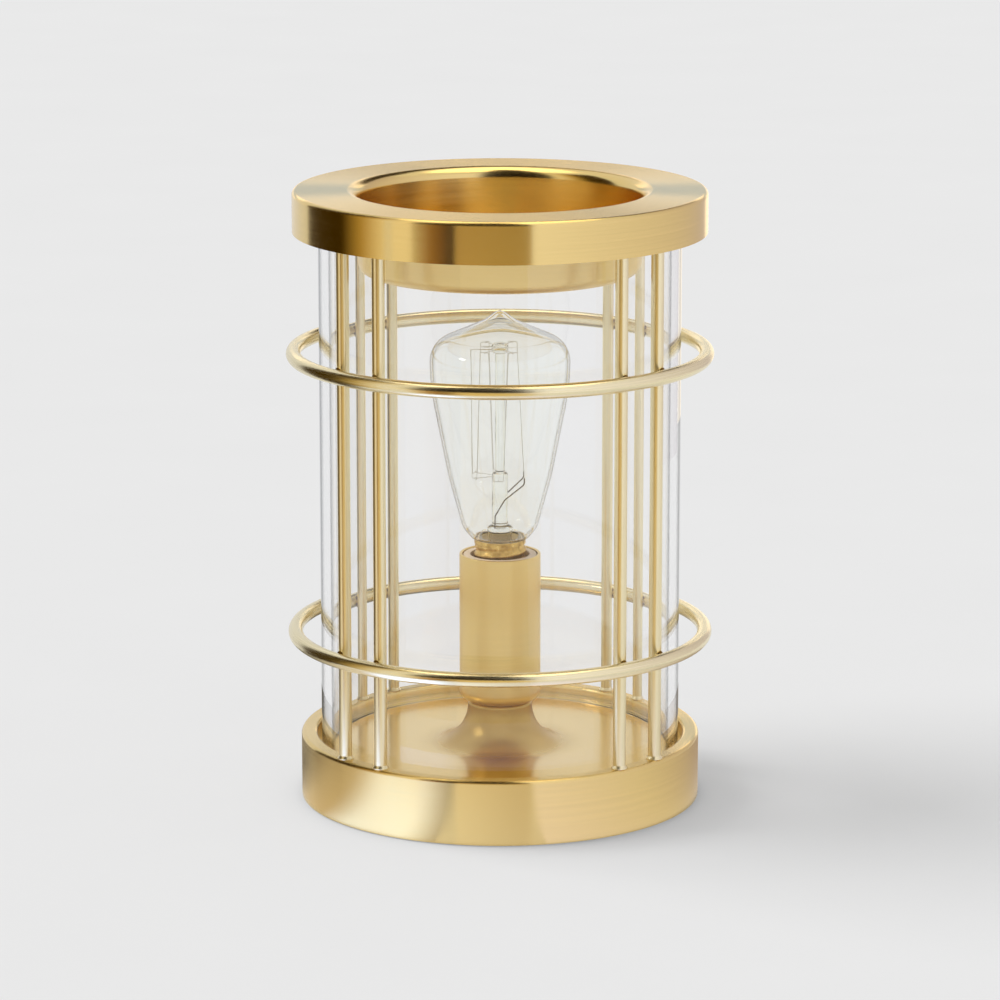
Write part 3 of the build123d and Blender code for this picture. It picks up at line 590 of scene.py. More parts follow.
def polished_brass():
    """The same sheet buffed inside the bowl: clear reflections, softened a little, with traces of the buff."""
    tint = bpy.context.scene.warmer_brass.spun_colour
    return ringed("polished_brass", tint, (0.97, 1), (0.16, 0.24), BUFF_WIDTH, BUFF_LENGTH, BRUSH_DEPTH)


def satin_brass():
    """Brass tube brushed to an even satin: soft light with no edge in it, and faint lines round the tube."""
    brass = bpy.context.scene.warmer_brass
    return ringed("satin_brass", brass.spun_colour, (0.97, 1.01), (0.3, 0.36), brass.grain, brass.spread,
                  BRUSH_DEPTH)


def drawn_neck():
    """The base's floor, buffed, and the trumpet drawn up from it, which the press left duller, with painted
    shade that darkens and browns it towards the neck.
    """
    base, tint = bpy.context.scene.warmer_base, bpy.context.scene.warmer_brass.spun_colour
    material, tree, shader = principled("drawn_neck", tint, 0.2, Metallic=1.0)
    radius = from_axis(tree, add_node(tree, "ShaderNodeTexCoord").outputs["Object"])
    span = {0: radius, 1: base.neck_radius, 2: base.neck_radius + 1.5 * base.flare}
    outwards = add_node(tree, "ShaderNodeMapRange", span, interpolation_type="SMOOTHSTEP").outputs[0]
    # colour runs from #C4A25C at the neck to the brass tint outwards: painted shade round the neck
    vary(tree, shader, outwards, (srgb("#C4A25C"), tint), (0.36, 0.2))
    vary(tree, shader, rings_round(tree, BUFF_WIDTH, BUFF_LENGTH), depth=BRUSH_DEPTH)
    return material


def drawn_rod():
    """Brass rod drawn through a die: a clean shine with fine lines along the rod."""
    brass = bpy.context.scene.warmer_brass
    tint, rough = brass.wire_colour, brass.wire_roughness
    return speckled("drawn_rod", shaded(tint, 0.93), shaded(tint, 1.03), (rough - 0.03, rough + 0.05),
                    DRAW_WIDTH, stretch=(1, 1, 60), relief=BRUSH_DEPTH, Metallic=1.0)


def drawn_hoop():
    """The same drawn brass bent to a hoop: its fine lines run round the cage."""
    brass = bpy.context.scene.warmer_brass
    rough = 0.8 * brass.wire_roughness
    return ringed("drawn_hoop", brass.wire_colour, (0.93, 1.03), (rough - 0.03, rough + 0.05), DRAW_WIDTH,
                  100 * DRAW_WIDTH, BRUSH_DEPTH)


def braze():
    """Brazing metal darkened by its flame: dull brown lumps beside the bright wire."""
    tint = bpy.context.scene.warmer_brass.braze_colour
    return speckled("braze", shaded(tint, 0.6), shaded(tint, 1.3), (0.35, 0.6), 0.4 * MM, relief=0.03 * MM,
                    Metallic=1.0)


def rolled_cap():
    """Thin brass shell rolled to a thread and soldered: bright, and browned in random patches by handling and
    flux."""
    tint = bpy.context.scene.warmer_brass.cap_colour
    return speckled("rolled_cap", srgb("#B48C48"), tint, (0.42, 0.24), 1.6 * MM, detail=4, relief=0.01 * MM,
                    Metallic=1.0)


def stamped_brass():
    """Brass strip stamped and left as it came from the press: bright, with a faint grain."""
    tint = srgb("#D8B56A")
    return speckled("stamped_brass", shaded(tint, 0.88), tint, (0.2, 0.34), 0.5 * MM, stretch=(1, 6, 1),
                    relief=0.004 * MM, Metallic=1.0)


def zinc_plate():
    """Steel plated with bright zinc: cool grey with cloudy patches, a little blue."""
    return speckled("zinc_plate", srgb("#AEB4BA"), srgb("#D0D2D2"), (0.26, 0.42), 3 * MM, detail=4,
                    relief=0.006 * MM, Metallic=1.0)


def chimney_glass():
    """Drawn soda-lime tube: clear and polished, with draw lines too faint to see but at a bright edge."""
    tint = bpy.context.scene.warmer_glass.chimney_colour
    material, tree, shader = principled("chimney_glass", tint, 0.0, IOR=1.5, Transmission_Weight=1.0)
    vary(tree, shader, spots(tree, 12 * MM, detail=0, stretch=(1, 1, 20)), depth=0.0003 * MM)
    # near-black tint at grazing: a painted dark outline over the tube's faint body colour
    edged(tree, shader, tint, srgb("#1A1E1C"), 0.79, 0.87)
    return material


def blown_glass():
    """Thin blown glass: clear, a trace green, with the slow waves that the mould leaves."""
    tint = bpy.context.scene.warmer_glass.lamp_colour
    material, tree, shader = principled("blown_glass", tint, 0.0, IOR=1.5, Transmission_Weight=1.0)
    vary(tree, shader, spots(tree, 9 * MM, detail=0), depth=0.02 * MM)
    # near-black tint at grazing: a painted dark outline over the lamp's faint green
    edged(tree, shader, tint, srgb("#181E19"), 0.7, 0.9)
    return material


def stem_glass():
    """Lead glass of the stem: clear and heavier, with flow marks where it was pinched hot."""
    material, tree, shader = principled("stem_glass", srgb("#FCFEFC"), 0.0, IOR=1.52, Transmission_Weight=1.0)
    vary(tree, shader, spots(tree, 2.5 * MM, detail=1, stretch=(1, 1, 3)), depth=0.12 * MM)
    return material


def steatite():
    """Pressed and fired ceramic, unglazed: cream, matt and faintly speckled."""
    return speckled("steatite", srgb("#DDC3A0"), srgb("#F0DCC0"), (0.55, 0.7), 0.35 * MM, detail=2,
                    relief=0.01 * MM)


def basing_cement():
    """The cement that holds the lamp's glass in its cap: tan, matt and grainy."""
    return speckled("basing_cement", srgb("#CBAE7C"), srgb("#E6D0A4"), (0.7, 0.9), 0.3 * MM, relief=0.02 * MM)


def moulded_rubber():
    """Moulded black rubber: matt, with the fine pitting of its mould."""
    return speckled("moulded_rubber", srgb("#191919"), srgb("#262626"), (0.62, 0.8), 0.4 * MM,
                    relief=0.02 * MM)


def moulded_nylon():
    """Moulded grey nylon: waxy and even, a little cloudy."""
    return speckled("moulded_nylon", srgb("#85878B"), srgb("#96989B"), (0.36, 0.5), 1.5 * MM, relief=0.01 * MM,
                    Subsurface_Weight=0.1, Subsurface_Scale=0.5 * MM)


def neutral_sleeve():
    """The neutral lead's white PVC."""
    return sleeve("neutral_sleeve", srgb("#D8D6CE"), srgb("#E6E5DF"))


def line_sleeve():
    """The line lead's black PVC."""
    return sleeve("line_sleeve", srgb("#161617"), srgb("#222224"))


def poured_glass():
    """Black glass poured into the cap to insulate its contact: glossy, with a slight ripple."""
    return speckled("poured_glass", srgb("#0C0D0E"), srgb("#1A1B1E"), (0.08, 0.2), 1.2 * MM, relief=0.02 * MM,
                    IOR=1.5)


def soft_solder():
    """A frozen drop of tin solder: satin grey, wrinkled where it set."""
    return speckled("soft_solder", srgb("#A2A29C"), srgb("#CACAC6"), (0.25, 0.5), 0.5 * MM, relief=0.03 * MM,
                    Metallic=1.0)


def tungsten():
    """Drawn tungsten, hardly burned: pale grey with the marks of its crystals."""
    return speckled("tungsten", srgb("#CFCBC3"), srgb("#E6E2DA"), (0.34, 0.5), 0.3 * MM, relief=0.004 * MM,
                    Metallic=1.0)


def molybdenum():
    """Drawn molybdenum: silver grey and smooth, fine lines along the wire."""
    return speckled("molybdenum", srgb("#CECBC6"), srgb("#E2E0DC"), (0.22, 0.36), 0.2 * MM, stretch=(1, 1, 8),
                    Metallic=1.0)


def lead_in_wire():
    """Nickel wire oxidised by the seal's flame: brown-grey with darker blotches."""
    return speckled("lead_in_wire", srgb("#4C443C"), srgb("#877C70"), (0.32, 0.52), 0.8 * MM,
                    relief=0.004 * MM, Metallic=1.0)


def finish(make):
    """The material that a function above makes, made once."""
    return bpy.data.materials.get(make.__name__) or make()


# Pieces

class WARMER_OT_dish(bpy.types.Operator):
    """Makes the warming dish: a bowl, a flat rim and an outer band, spun from one sheet."""

    bl_idname = "warmer.dish"
    bl_label = "Warming dish"
    bl_options = {"REGISTER", "UNDO"}

    def execute(self, context):
        """Turns the dish's outline round its axis."""
        dish = context.scene.warmer_dish
        low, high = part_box("warming_dish")
        rim, top, under = high.x, high.z, low.z
        sheet, floor = dish.sheet, dish.floor_radius
        corners = [
            (0, under + sheet),
            (floor, under + sheet, dish.floor_bend),
            (dish.mouth_radius, top, dish.mouth_bend),
            (rim, top, dish.rim_bend),
            (rim, top - dish.band),
            (rim - sheet, top - dish.band),
            (rim - sheet, top - sheet, dish.rim_bend - sheet),
            (dish.mouth_radius + sheet, top - sheet, dish.mouth_bend - sheet),
            (floor + sheet, under, dish.floor_bend + sheet),
            (0, under),
        ]
        piece = turned("warming_dish_spun", rounded(corners))
        looks = [spun_brass, polished_brass, satin_brass, faced_brass]
        paint(piece, *map(finish, looks))
        for face in piece.data.polygons:
            middle, up = face.center.to_2d(), face.normal.z
            inwards = face.normal.to_2d().dot(middle) < -LEAN * middle.length
            look = spun_brass
            if up > FLAT and middle.length > dish.mouth_radius:
                look = faced_brass
            elif middle.length < dish.mouth_radius + dish.mouth_bend:
                look = polished_brass if up > STEEP or (inwards and up > -STEEP) else satin_brass
            face.material_index = looks.index(look)
        piece.visible_diffuse = False
        settle(piece, "dish", "dish_brass", "warming_dish")
        return {"FINISHED"}


class WARMER_OT_base(bpy.types.Operator):
    """Makes the base pan: outer wall, ledge, recess and trumpet flare, spun from one sheet."""

    bl_idname = "warmer.base"
    bl_label = "Base pan"
    bl_options = {"REGISTER", "UNDO"}

    def execute(self, context):
        """Turns the pan's outline round its axis and cuts the cord hole."""
        base = context.scene.warmer_base
        low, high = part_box("base_pan")
        wall, neck_top, foot = high.x, high.z, low.z
        sheet, ledge, inner = base.sheet, base.ledge, wall - base.ledge_width
        floor = ledge - base.recess
        corners = [
            (base.neck_bore, neck_top),
            (base.neck_radius, neck_top, base.edge_bend),
            (base.neck_radius, floor, base.flare),
            (inner, floor, TIGHT),
            (inner, ledge, base.edge_bend),
            (wall, ledge, base.edge_bend),
            (wall, foot),
            (wall - sheet, foot),
            (wall - sheet, ledge - sheet, TIGHT),
            (inner + sheet, ledge - sheet, TIGHT),
            (inner + sheet, floor - sheet, base.edge_bend),
            (base.neck_radius - sheet, floor - sheet, base.flare + sheet),
            (base.neck_radius - sheet, neck_top - sheet, TIGHT),
            (base.neck_bore, neck_top - sheet),
        ]
        piece = turned("base_pan_spun", rounded(corners))
        self.cut_inlet(piece, base, wall)
        paint(piece, finish(spun_brass), finish(drawn_neck))
        for face in piece.data.polygons:
            face.material_index = int(face.center.to_2d().length < inner - 2 * TIGHT)
        piece.visible_diffuse = False
        settle(piece, "base", "dish_brass", "base_pan")
        return {"FINISHED"}

    def cut_inlet(self, piece, base, wall):
        """Drills the hole for the cord through the rear wall."""
        shape = bmesh.new()
        bmesh.ops.create_cone(shape, cap_ends=True, segments=FINE_ROUND // 2, radius1=base.inlet_radius,
                              radius2=base.inlet_radius, depth=wall / 4)
        for vert in shape.verts:
            vert.co = Vector((vert.co.x, wall + vert.co.z, base.inlet_height + vert.co.y))
        drill = from_bmesh("inlet_drill", shape)
        modifier = piece.modifiers.new("inlet", "BOOLEAN")
        modifier.operation = "DIFFERENCE"
        modifier.object = drill
        graph = bpy.context.evaluated_depsgraph_get()
        mesh = bpy.data.meshes.new_from_object(piece.evaluated_get(graph), depsgraph=graph)
        piece.modifiers.clear()
        piece.data = mesh
        bpy.data.objects.remove(drill)


def rod_places_tree(material):
    """Puts a copy of one piece at the place of each rod, turned to face outwards."""
    tree, group = growing_tree("rod_places", {
        "Piece": "NodeSocketObject",
        "Pairs": "NodeSocketInt",
        "First Pair": "NodeSocketFloat",
        "Pair Spread": "NodeSocketFloat",
        "Circle": "NodeSocketFloat",
    })
    given = group.outputs
    number = add_node(tree, "GeometryNodeInputIndex").outputs[0]
    total = add_node(tree, "ShaderNodeMath", {0: given["Pairs"], 1: 2.0}, operation="MULTIPLY").outputs[0]
    half = add_node(tree, "ShaderNodeMath", {0: number, 1: 0.5}, operation="MULTIPLY").outputs[0]
    pair = add_node(tree, "ShaderNodeMath", {0: half}, operation="FLOOR").outputs[0]
    odd = add_node(tree, "ShaderNodeMath", {0: number, 1: 2.0}, operation="MODULO").outputs[0]
    side = add_node(tree, "ShaderNodeMath", {0: odd, 1: 0.5}, operation="SUBTRACT").outputs[0]
    step = add_node(tree, "ShaderNodeMath", {0: math.tau, 1: given["Pairs"]}, operation="DIVIDE").outputs[0]
    turn = add_node(tree, "ShaderNodeMath", {0: pair, 1: step, 2: given["First Pair"]},
                    operation="MULTIPLY_ADD").outputs[0]
    turn = add_node(tree, "ShaderNodeMath", {0: side, 1: given["Pair Spread"], 2: turn},
                    operation="MULTIPLY_ADD").outputs[0]
    points = add_node(tree, "GeometryNodePoints", {"Count": total})
    source = add_node(tree, "GeometryNodeObjectInfo", {"Object": given["Piece"]})
    spin = add_node(tree, "ShaderNodeCombineXYZ", {2: turn})
    outwards = add_node(tree, "ShaderNodeCombineXYZ", {0: given["Circle"]})
    place = add_node(tree, "ShaderNodeVectorRotate", {"Vector": outwards.outputs[0], "Angle": turn},
                     rotation_type="Z_AXIS")
    placed = add_node(tree, "GeometryNodeSetPosition",
                      {"Geometry": points.outputs[0], "Position": place.outputs[0]})
    copies = add_node(tree, "GeometryNodeInstanceOnPoints", {
        "Points": placed.outputs[0], "Instance": source.outputs["Geometry"], "Rotation": spin.outputs[0],
    })
    end_tree(tree, copies.outputs[0], material)
    return tree


def hoop_tree(material):
    """A round wire bent to a closed hoop at a height."""
    tree, group = growing_tree("hoop", dict.fromkeys(("Circle", "Wire", "Height"), "NodeSocketFloat"))
    given = group.outputs
    path = add_node(tree, "GeometryNodeCurvePrimitiveCircle", {"Resolution": ROUND, "Radius": given["Circle"]})
    section = add_node(tree, "GeometryNodeCurvePrimitiveCircle",
                       {"Resolution": HOOP_ROUND, "Radius": given["Wire"]})
    wire = add_node(tree, "GeometryNodeCurveToMesh",
                    {"Curve": path.outputs[0], "Profile Curve": section.outputs[0]})
    lift = add_node(tree, "ShaderNodeCombineXYZ", {2: given["Height"]})
    raised = add_node(tree, "GeometryNodeTransform",
                      {"Geometry": wire.outputs[0], "Translation": lift.outputs[0]})
    end_tree(tree, raised.outputs[0], material)
    return tree


class WARMER_OT_cage(bpy.types.Operator):
    """Makes the wire cage: eight rods, two hoops and the braze beads that join them."""

    bl_idname = "warmer.cage"
    bl_label = "Wire cage"
    bl_options = {"REGISTER", "UNDO"}

    def execute(self, context):
        """Makes one rod and one set of beads, repeats them round the cage, and bends the hoops."""
        cage = context.scene.warmer_cage
        rods = [f"cage_rod_{k + 1}" for k in range(2 * cage.pairs)]
        low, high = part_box("cage_rod_1")
        radius, foot, head = (high.x - low.x) / 2, low.z, high.z
        circle = Vector(((low.x + high.x) / 2, (low.y + high.y) / 2)).length
        sizes = {"Pairs": cage.pairs, "First Pair": cage.first_pair, "Pair Spread": cage.pair_spread}
        rod = turned("rod", rounded([
            (0, head),
            (radius, head, cage.rod_bend),
            (radius, foot + cage.collar_height, cage.collar_height / 2),
            (radius + cage.collar, foot + cage.collar_height / 4),
            (radius + cage.collar, foot),
            (0, foot),
        ]), segments=ROD_ROUND)
        tree = rod_places_tree(finish(drawn_rod))
        piece = grown("cage_rods", tree, {**sizes, "Piece": rod, "Circle": circle})
        piece.visible_diffuse = False
        settle(piece, "base", "wire_brass", *rods)
        bpy.data.objects.remove(rod)
        ring = hoop_tree(finish(drawn_hoop))
        heights = []
        for node in ("lower_hoop", "upper_hoop"):
            low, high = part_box(node)
            wire, height = (high.z - low.z) / 2, (high.z + low.z) / 2
            hoop_circle = high.x - wire
            piece = grown(node + "_wire", ring, {"Circle": hoop_circle, "Wire": wire, "Height": height})
            piece.visible_diffuse = False
            settle(piece, "base", "wire_brass", node)
            heights.append(height)
        self.beads(cage, sizes, circle + radius, wire, heights)
        return {"FINISHED"}

    def beads(self, cage, sizes, touch, wire, heights):
        """Fills the crevice above and below each touch of rod and hoop with a bead."""
        shape = bmesh.new()
        for height in heights:
            for side in (-1, 1):
                made = bmesh.ops.create_icosphere(shape, subdivisions=3, radius=cage.braze)
                for vert in made["verts"]:
                    vert.co.x *= cage.braze_flat
                    vert.co.z += height + side * wire * cage.braze_place
        bead = from_bmesh("bead", shape)
        piece = grown("braze_beads", rod_places_tree(finish(braze)), {**sizes, "Piece": bead, "Circle": touch})
        settle(piece, "base", "wire_brass")
        bpy.data.objects.remove(bead)


class WARMER_OT_chimney(bpy.types.Operator):
    """Makes the glass chimney: a plain tube with fire-polished ends."""

    bl_idname = "warmer.chimney"
    bl_label = "Glass chimney"
    bl_options = {"REGISTER", "UNDO"}

    def execute(self, context):
        """Turns the tube's wall round its axis."""
        glass = context.scene.warmer_glass
        low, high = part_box("glass_chimney")
        outer, inner, bend = high.x, high.x - glass.chimney_wall, glass.edge_bend
        corners = [(outer, low.z, bend), (outer, high.z, bend), (inner, high.z, bend), (inner, low.z, bend)]
        piece = turned("glass_chimney_tube", rounded(corners), segments=4 * ROUND)  # else facets show
        paint(piece, finish(chimney_glass))
        clear_to_light(piece)
        settle(piece, "glass", "clear_glass", "glass_chimney")
        return {"FINISHED"}


class WARMER_OT_socket(bpy.types.Operator):
    """Makes the socket cover: a brass tube with a rounded foot."""

    bl_idname = "warmer.socket"
    bl_label = "Socket cover"
    bl_options = {"REGISTER", "UNDO"}

    def execute(self, context):
        """Turns the cover's outline round its axis."""
        base = context.scene.warmer_base
        low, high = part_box("socket_cover")
        outer, sheet, bore = high.x, base.cover_sheet, base.neck_bore
        lip = sheet / 3
        corners = [
            (bore, low.z),
            (outer, low.z, base.cover_bend),
            (outer, high.z, lip),
            (outer - sheet, high.z, lip),
            (outer - sheet, low.z + sheet, base.cover_bend - sheet),
            (bore, low.z + sheet),
        ]
        piece = turned("socket_cover_tube", rounded(corners), segments=FINE_ROUND)
        paint(piece, finish(satin_brass))
        settle(piece, "base", "dish_brass", "socket_cover")
        return {"FINISHED"}


class WARMER_OT_lamp_cap(bpy.types.Operator):
    """Makes the lamp's cap: a thin shell with a rolled thread."""

    bl_idname = "warmer.lamp_cap"
    bl_label = "Lamp cap"
    bl_options = {"REGISTER", "UNDO"}

    def execute(self, context):
        """Turns the shell and swells it into a thread that fades at both ends."""
        glass, lamp = context.scene.warmer_glass, context.scene.warmer_lamp
        low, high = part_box("bulb_cap")
        rim, bottom, top = high.x, low.z, high.z
        core, inner = rim - lamp.thread_depth, rim - lamp.thread_depth - lamp.cap_wall / 2
        fade_height = lamp.rim_height / 2
        thread_top = top - fade_height

        def thread(radius, height, turn):
            """The rolled wall's radius at a height and an angle."""
            wave = 0.5 + 0.5 * math.cos(math.tau * (height - bottom) / lamp.thread_pitch - turn)
            fade = min(1.0, max(0.0, (height - bottom) / lamp.thread_pitch))
            fade *= min(1.0, max(0.0, (thread_top - height) / fade_height))
            swell = lamp.rim_swell if height > thread_top else wave * fade
            return radius + lamp.thread_depth * swell * THREAD_FIT

        outside = [(core, bottom + (top - bottom) * k / THREAD_ROWS) for k in range(THREAD_ROWS + 1)]
        inside = [(inner, z) for _, z in reversed(outside)]
        piece = turned("lamp_cap_shell", outside + inside, segments=THREAD_ROUND, reach=thread)
        paint(piece, finish(rolled_cap))
        settle(piece, "lamp", "lamp_cap_brass", "bulb_cap")
        neck, bed = rim - glass.neck_step + FIT, top - lamp.cement_depth
        cement = turned("lamp_cap_cement", rounded([
            (neck, top - TIGHT, TIGHT),
            (neck, bed),
            (inner - FIT, bed),
            (inner - FIT, top - 2 * TIGHT, TIGHT),
        ]), segments=THREAD_ROUND)
        paint(cement, finish(basing_cement))
        settle(cement, "lamp", "cream_ceramic")
        return {"FINISHED"}


class WARMER_OT_lamp_glass(bpy.types.Operator):
    """Makes the lamp's glass: a thin pear-shaped envelope with its tip, and the stem inside it."""

    bl_idname = "warmer.lamp_glass"
    bl_label = "Lamp glass"
    bl_options = {"REGISTER", "UNDO"}

    def execute(self, context):
        """Makes the envelope, then the stem."""
        glass, lamp = context.scene.warmer_glass, context.scene.warmer_lamp
        cap_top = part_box("bulb_cap")[1].z
        self.envelope(glass, cap_top)
        self.stem(lamp, cap_top)
        return {"FINISHED"}

    def envelope(self, glass, cap_top):
        """Turns the envelope's wall, an even thickness all round."""
        low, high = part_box("bulb_envelope")
        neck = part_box("bulb_cap")[1].x - glass.neck_step
        corners = [
            (neck, low.z),
            (neck, cap_top + TIGHT / 2),
            (neck + glass.neck_flare, cap_top + 2 * TIGHT, glass.neck_bend),
            (glass.foot_radius, cap_top + glass.foot_height, glass.foot_bend),
            (glass.cone_radius, cap_top + glass.cone_height, glass.side_bend),
            (high.x, cap_top + glass.cheek_height, glass.side_bend),
            (high.x, cap_top + glass.shoulder_height, glass.shoulder_bend),
            (glass.crown_radius, cap_top + glass.crown_height, glass.crown_bend),
            (glass.tip_radius, high.z - glass.tip_height, glass.tip_bend),
            (0, high.z),
        ]
        outside = open_outline(corners)
        inside = inset(outside, glass.lamp_wall)
        piece = turned("lamp_envelope", [tuple(p) for p in outside] + [tuple(p) for p in reversed(inside)])
        paint(piece, finish(blown_glass))
        clear_to_light(piece)
        settle(piece, "lamp", "lamp_glass", "bulb_envelope")

    def stem(self, lamp, cap_top):
        """Turns the stem's flare, tube, rod and button, and pinches the press flat."""
        low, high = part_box("bulb_stem")
        start, press = cap_top - lamp.press_start, cap_top + lamp.press_height
        tube, button = cap_top + lamp.tube_height, high.z - lamp.button_height
        flare, lip = 0.6 * MM, 2 * MM  # how far the flare opens over its lip's height
        crisp, melted = 0.4 * MM, 0.8 * MM  # roundings of the worked glass
        corners = [
            (0, low.z),
            (high.x, low.z, flare / 2),
            (high.x - flare, low.z + lip, 1.5 * MM),
            (lamp.press_radius, start, lip),
            (lamp.press_radius, press, melted),
            (lamp.tube_radius, press + crisp, crisp),
            (lamp.tube_radius, tube, melted),
            (lamp.rod_radius, tube + crisp, crisp),
            (lamp.rod_radius, button, crisp),
            (lamp.button_radius, button, melted),
            (lamp.button_radius, high.z, melted),
            (0, high.z),
        ]
        piece = turned("lamp_stem", open_outline(corners), segments=FINE_ROUND // 2)
        for vert in piece.data.vertices:
            if start < vert.co.z < press:
                pinch = math.sin(math.pi * (press - vert.co.z) / (press - start)) ** 0.5
                vert.co.y *= 1 - lamp.press_thinned * pinch
                vert.co.x *= 1 + lamp.press_widened * pinch
        paint(piece, finish(stem_glass))
        clear_to_light(piece)
        settle(piece, "lamp", "lamp_glass", "bulb_stem")


class WARMER_OT_filament(bpy.types.Operator):
    """Makes the squirrel-cage filament, its support wires and the two lead-in wires."""

    bl_idname = "warmer.filament"
    bl_label = "Filament"
    bl_options = {"REGISTER", "UNDO"}

    def execute(self, context):
        """Works out where the filament turns, then makes the wires."""
        lamp = context.scene.warmer_lamp
        cap_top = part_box("bulb_cap")[1].z
        button_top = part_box("bulb_stem")[1].z
        high = button_top - lamp.button_height / 2
        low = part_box("bulb_filament")[0].z + lamp.filament_radius
        step = (math.pi - lamp.lead_turn) / lamp.hairpins
        highs = [lamp.lead_turn + step * (2 * k + 1) for k in range(lamp.hairpins)]
        lows = [lamp.lead_turn + step * 2 * k for k in range(1, lamp.hairpins)]
        self.strand(lamp, highs, lows, high, low)
        self.supports(lamp, highs, lows, high, low)
        self.leads(lamp, cap_top, low)
        return {"FINISHED"}

    def strand(self, lamp, highs, lows, high, low):
        """One wire, up and down round the cage."""
        turn, reach = lamp.hairpin / lamp.cage_radius, lamp.cage_radius
        route = [polar(reach, lamp.lead_turn, low)]
        for k, top in enumerate(highs):
            route += [polar(reach, top - turn, high), polar(reach, top + turn, high)]
            if k < len(lows):
                route += [polar(reach, lows[k] - turn, low), polar(reach, lows[k] + turn, low)]
        route.append(polar(reach, -lamp.lead_turn, low))
        bend = 0.3 * MM
        piece = swept("filament_strand", bent(route, bend, steps=4), lamp.filament_radius, sides=10)
        paint(piece, finish(tungsten))
        settle(piece, "lamp", "filament_wire", "bulb_filament")

    def supports(self, lamp, highs, lows, high, low):
        """Straight wires out of the button and the tube, each hooked at the filament's bend."""
        tip, hook, rise, bend = lamp.cage_radius - TIGHT, 0.8 * MM, 0.35 * MM, 0.5 * MM
        sunk = 0.8  # share of the glass's radius where a wire starts
        parts = []
        rows = ((highs, high, lamp.button_radius, -rise), (lows, low, lamp.tube_radius, rise))
        for turns, height, root, lift in rows:
            for turn in turns:
                route = [polar(root * sunk, turn, height), polar(tip - hook, turn, height),
                         polar(tip, turn, height + lift)]
                parts.append(swept("support", bent(route, bend, steps=4), lamp.support_radius, sides=8))
        piece = joined("filament_support_wires", parts)
        paint(piece, finish(molybdenum))
        settle(piece, "lamp", "support_wire", "filament_supports")

    def leads(self, lamp, cap_top, low):
        """Two wires out of the press, leaning to one side, up to the filament's ends."""
        press, foot = cap_top + lamp.press_height, lamp.press_radius - 0.4 * MM
        ankle, knee, clamp, bend = press + 3 * MM, press + 7.5 * MM, low - 1.5 * MM, 2 * MM
        parts = []
        for side, foot_turn in ((-1, math.radians(-121)), (1, math.radians(65))):
            route = [
                polar(foot, foot_turn, press - 0.3 * MM),
                polar(foot, foot_turn, ankle),
                polar(lamp.press_radius + lamp.lead_radius, side * lamp.knee_turn, knee),
                polar(lamp.cage_radius, side * lamp.lead_turn, clamp),
                polar(lamp.cage_radius, side * lamp.lead_turn, low + 2 * TIGHT),
            ]
            parts.append(swept("lead", bent(route, bend, steps=8), lamp.lead_radius, sides=12))
        piece = joined("lead_in_wires", parts)
        paint(piece, finish(lead_in_wire))
        settle(piece, "lamp", "support_wire", "bulb_leads")


class WARMER_OT_hardware(bpy.types.Operator):
    """Finishes the pieces whose shape the frame already gives: socket insides, fasteners, feet and leads."""

    bl_idname = "warmer.hardware"
    bl_label = "Hardware"
    bl_options = {"REGISTER", "UNDO"}

    def execute(self, context):
        """Gives each remaining node its finish."""
        finishes = {
            satin_brass: ["cage_top_ring"],
            stamped_brass: ["screw_shell", "centre_contact", "contact_rivet", "threaded_nipple",
                            "terminal_screws"],
            zinc_plate: ["bottom_cover", "cover_posts", "cover_screws", "lock_washer", "lock_nut",
                         "socket_bracket", "bracket_screws"],
            steatite: ["socket_body"],
            moulded_rubber: ["foot_pads", "cord_grommet"],
            moulded_nylon: ["crimp_caps"],
            neutral_sleeve: ["lead_neutral"],
            line_sleeve: ["lead_line"],
            poured_glass: ["cap_insulator"],
            soft_solder: ["cap_contact"],
        }
        for make, nodes in finishes.items():
            for node in nodes:
                paint(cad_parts[node], finish(make))
        return {"FINISHED"}


# Studio

def glow(name, tints, strength):
    """A light-giving surface that goes from one tint to another along its UV map."""
    material = bpy.data.materials.new(name)
    material.use_nodes = True
    tree = material.node_tree
    tree.nodes.clear()
    along = add_node(tree, "ShaderNodeSeparateXYZ", {0: add_node(tree, "ShaderNodeUVMap").outputs[0]})
    first, last = ((*tint, 1) for tint in tints)
    mixed = add_node(tree, "ShaderNodeMix", {0: along.outputs[0], 6: first, 7: last}, data_type="RGBA")
    light = add_node(tree, "ShaderNodeEmission", {"Color": mixed.outputs[2], "Strength": strength})
    add_node(tree, "ShaderNodeOutputMaterial", {"Surface": light.outputs[0]})
    return material


def card(name, start, end, outline, tints, strength=1.0, seen_by="glossy"):
    """A card bent round the warmer from one direction to another, 0 at the camera and + to its right.
    outline gives its section as (distance, height) points, and tints its colours at both ends.
    Only rays of the kind seen_by meet it: glossy in reflections, transmission through glass."""
    steps = 48
    shape = bmesh.new()
    uv = shape.loops.layers.uv.new(AROUND)
    rows = []
    for k in range(steps + 1):
        turn = math.radians(start + (end - start) * k / steps)
        rows.append([shape.verts.new((d * math.sin(turn), -d * math.cos(turn), z)) for d, z in outline])
    for k, (a, b) in enumerate(zip(rows, rows[1:])):
        for n in range(len(outline) - 1):
            face = shape.faces.new((a[n], b[n], b[n + 1], a[n + 1]))
            for loop, place in zip(face.loops, (k, k + 1, k + 1, k)):
                loop[uv].uv = (place / steps, 0)
    mesh = bpy.data.meshes.new(name)
    shape.to_mesh(mesh)
    shape.free()
    piece = bpy.data.objects.new(name, mesh)
    bpy.context.scene.collection.objects.link(piece)
    codes = tints if isinstance(tints, tuple) else (tints, tints)
    piece.data.materials.append(glow(name, [srgb(code) for code in codes], strength))
    for kind in ("camera", "diffuse", "glossy", "transmission", "shadow", "volume_scatter"):
        setattr(piece, "visible_" + kind, kind == seen_by)
    return piece


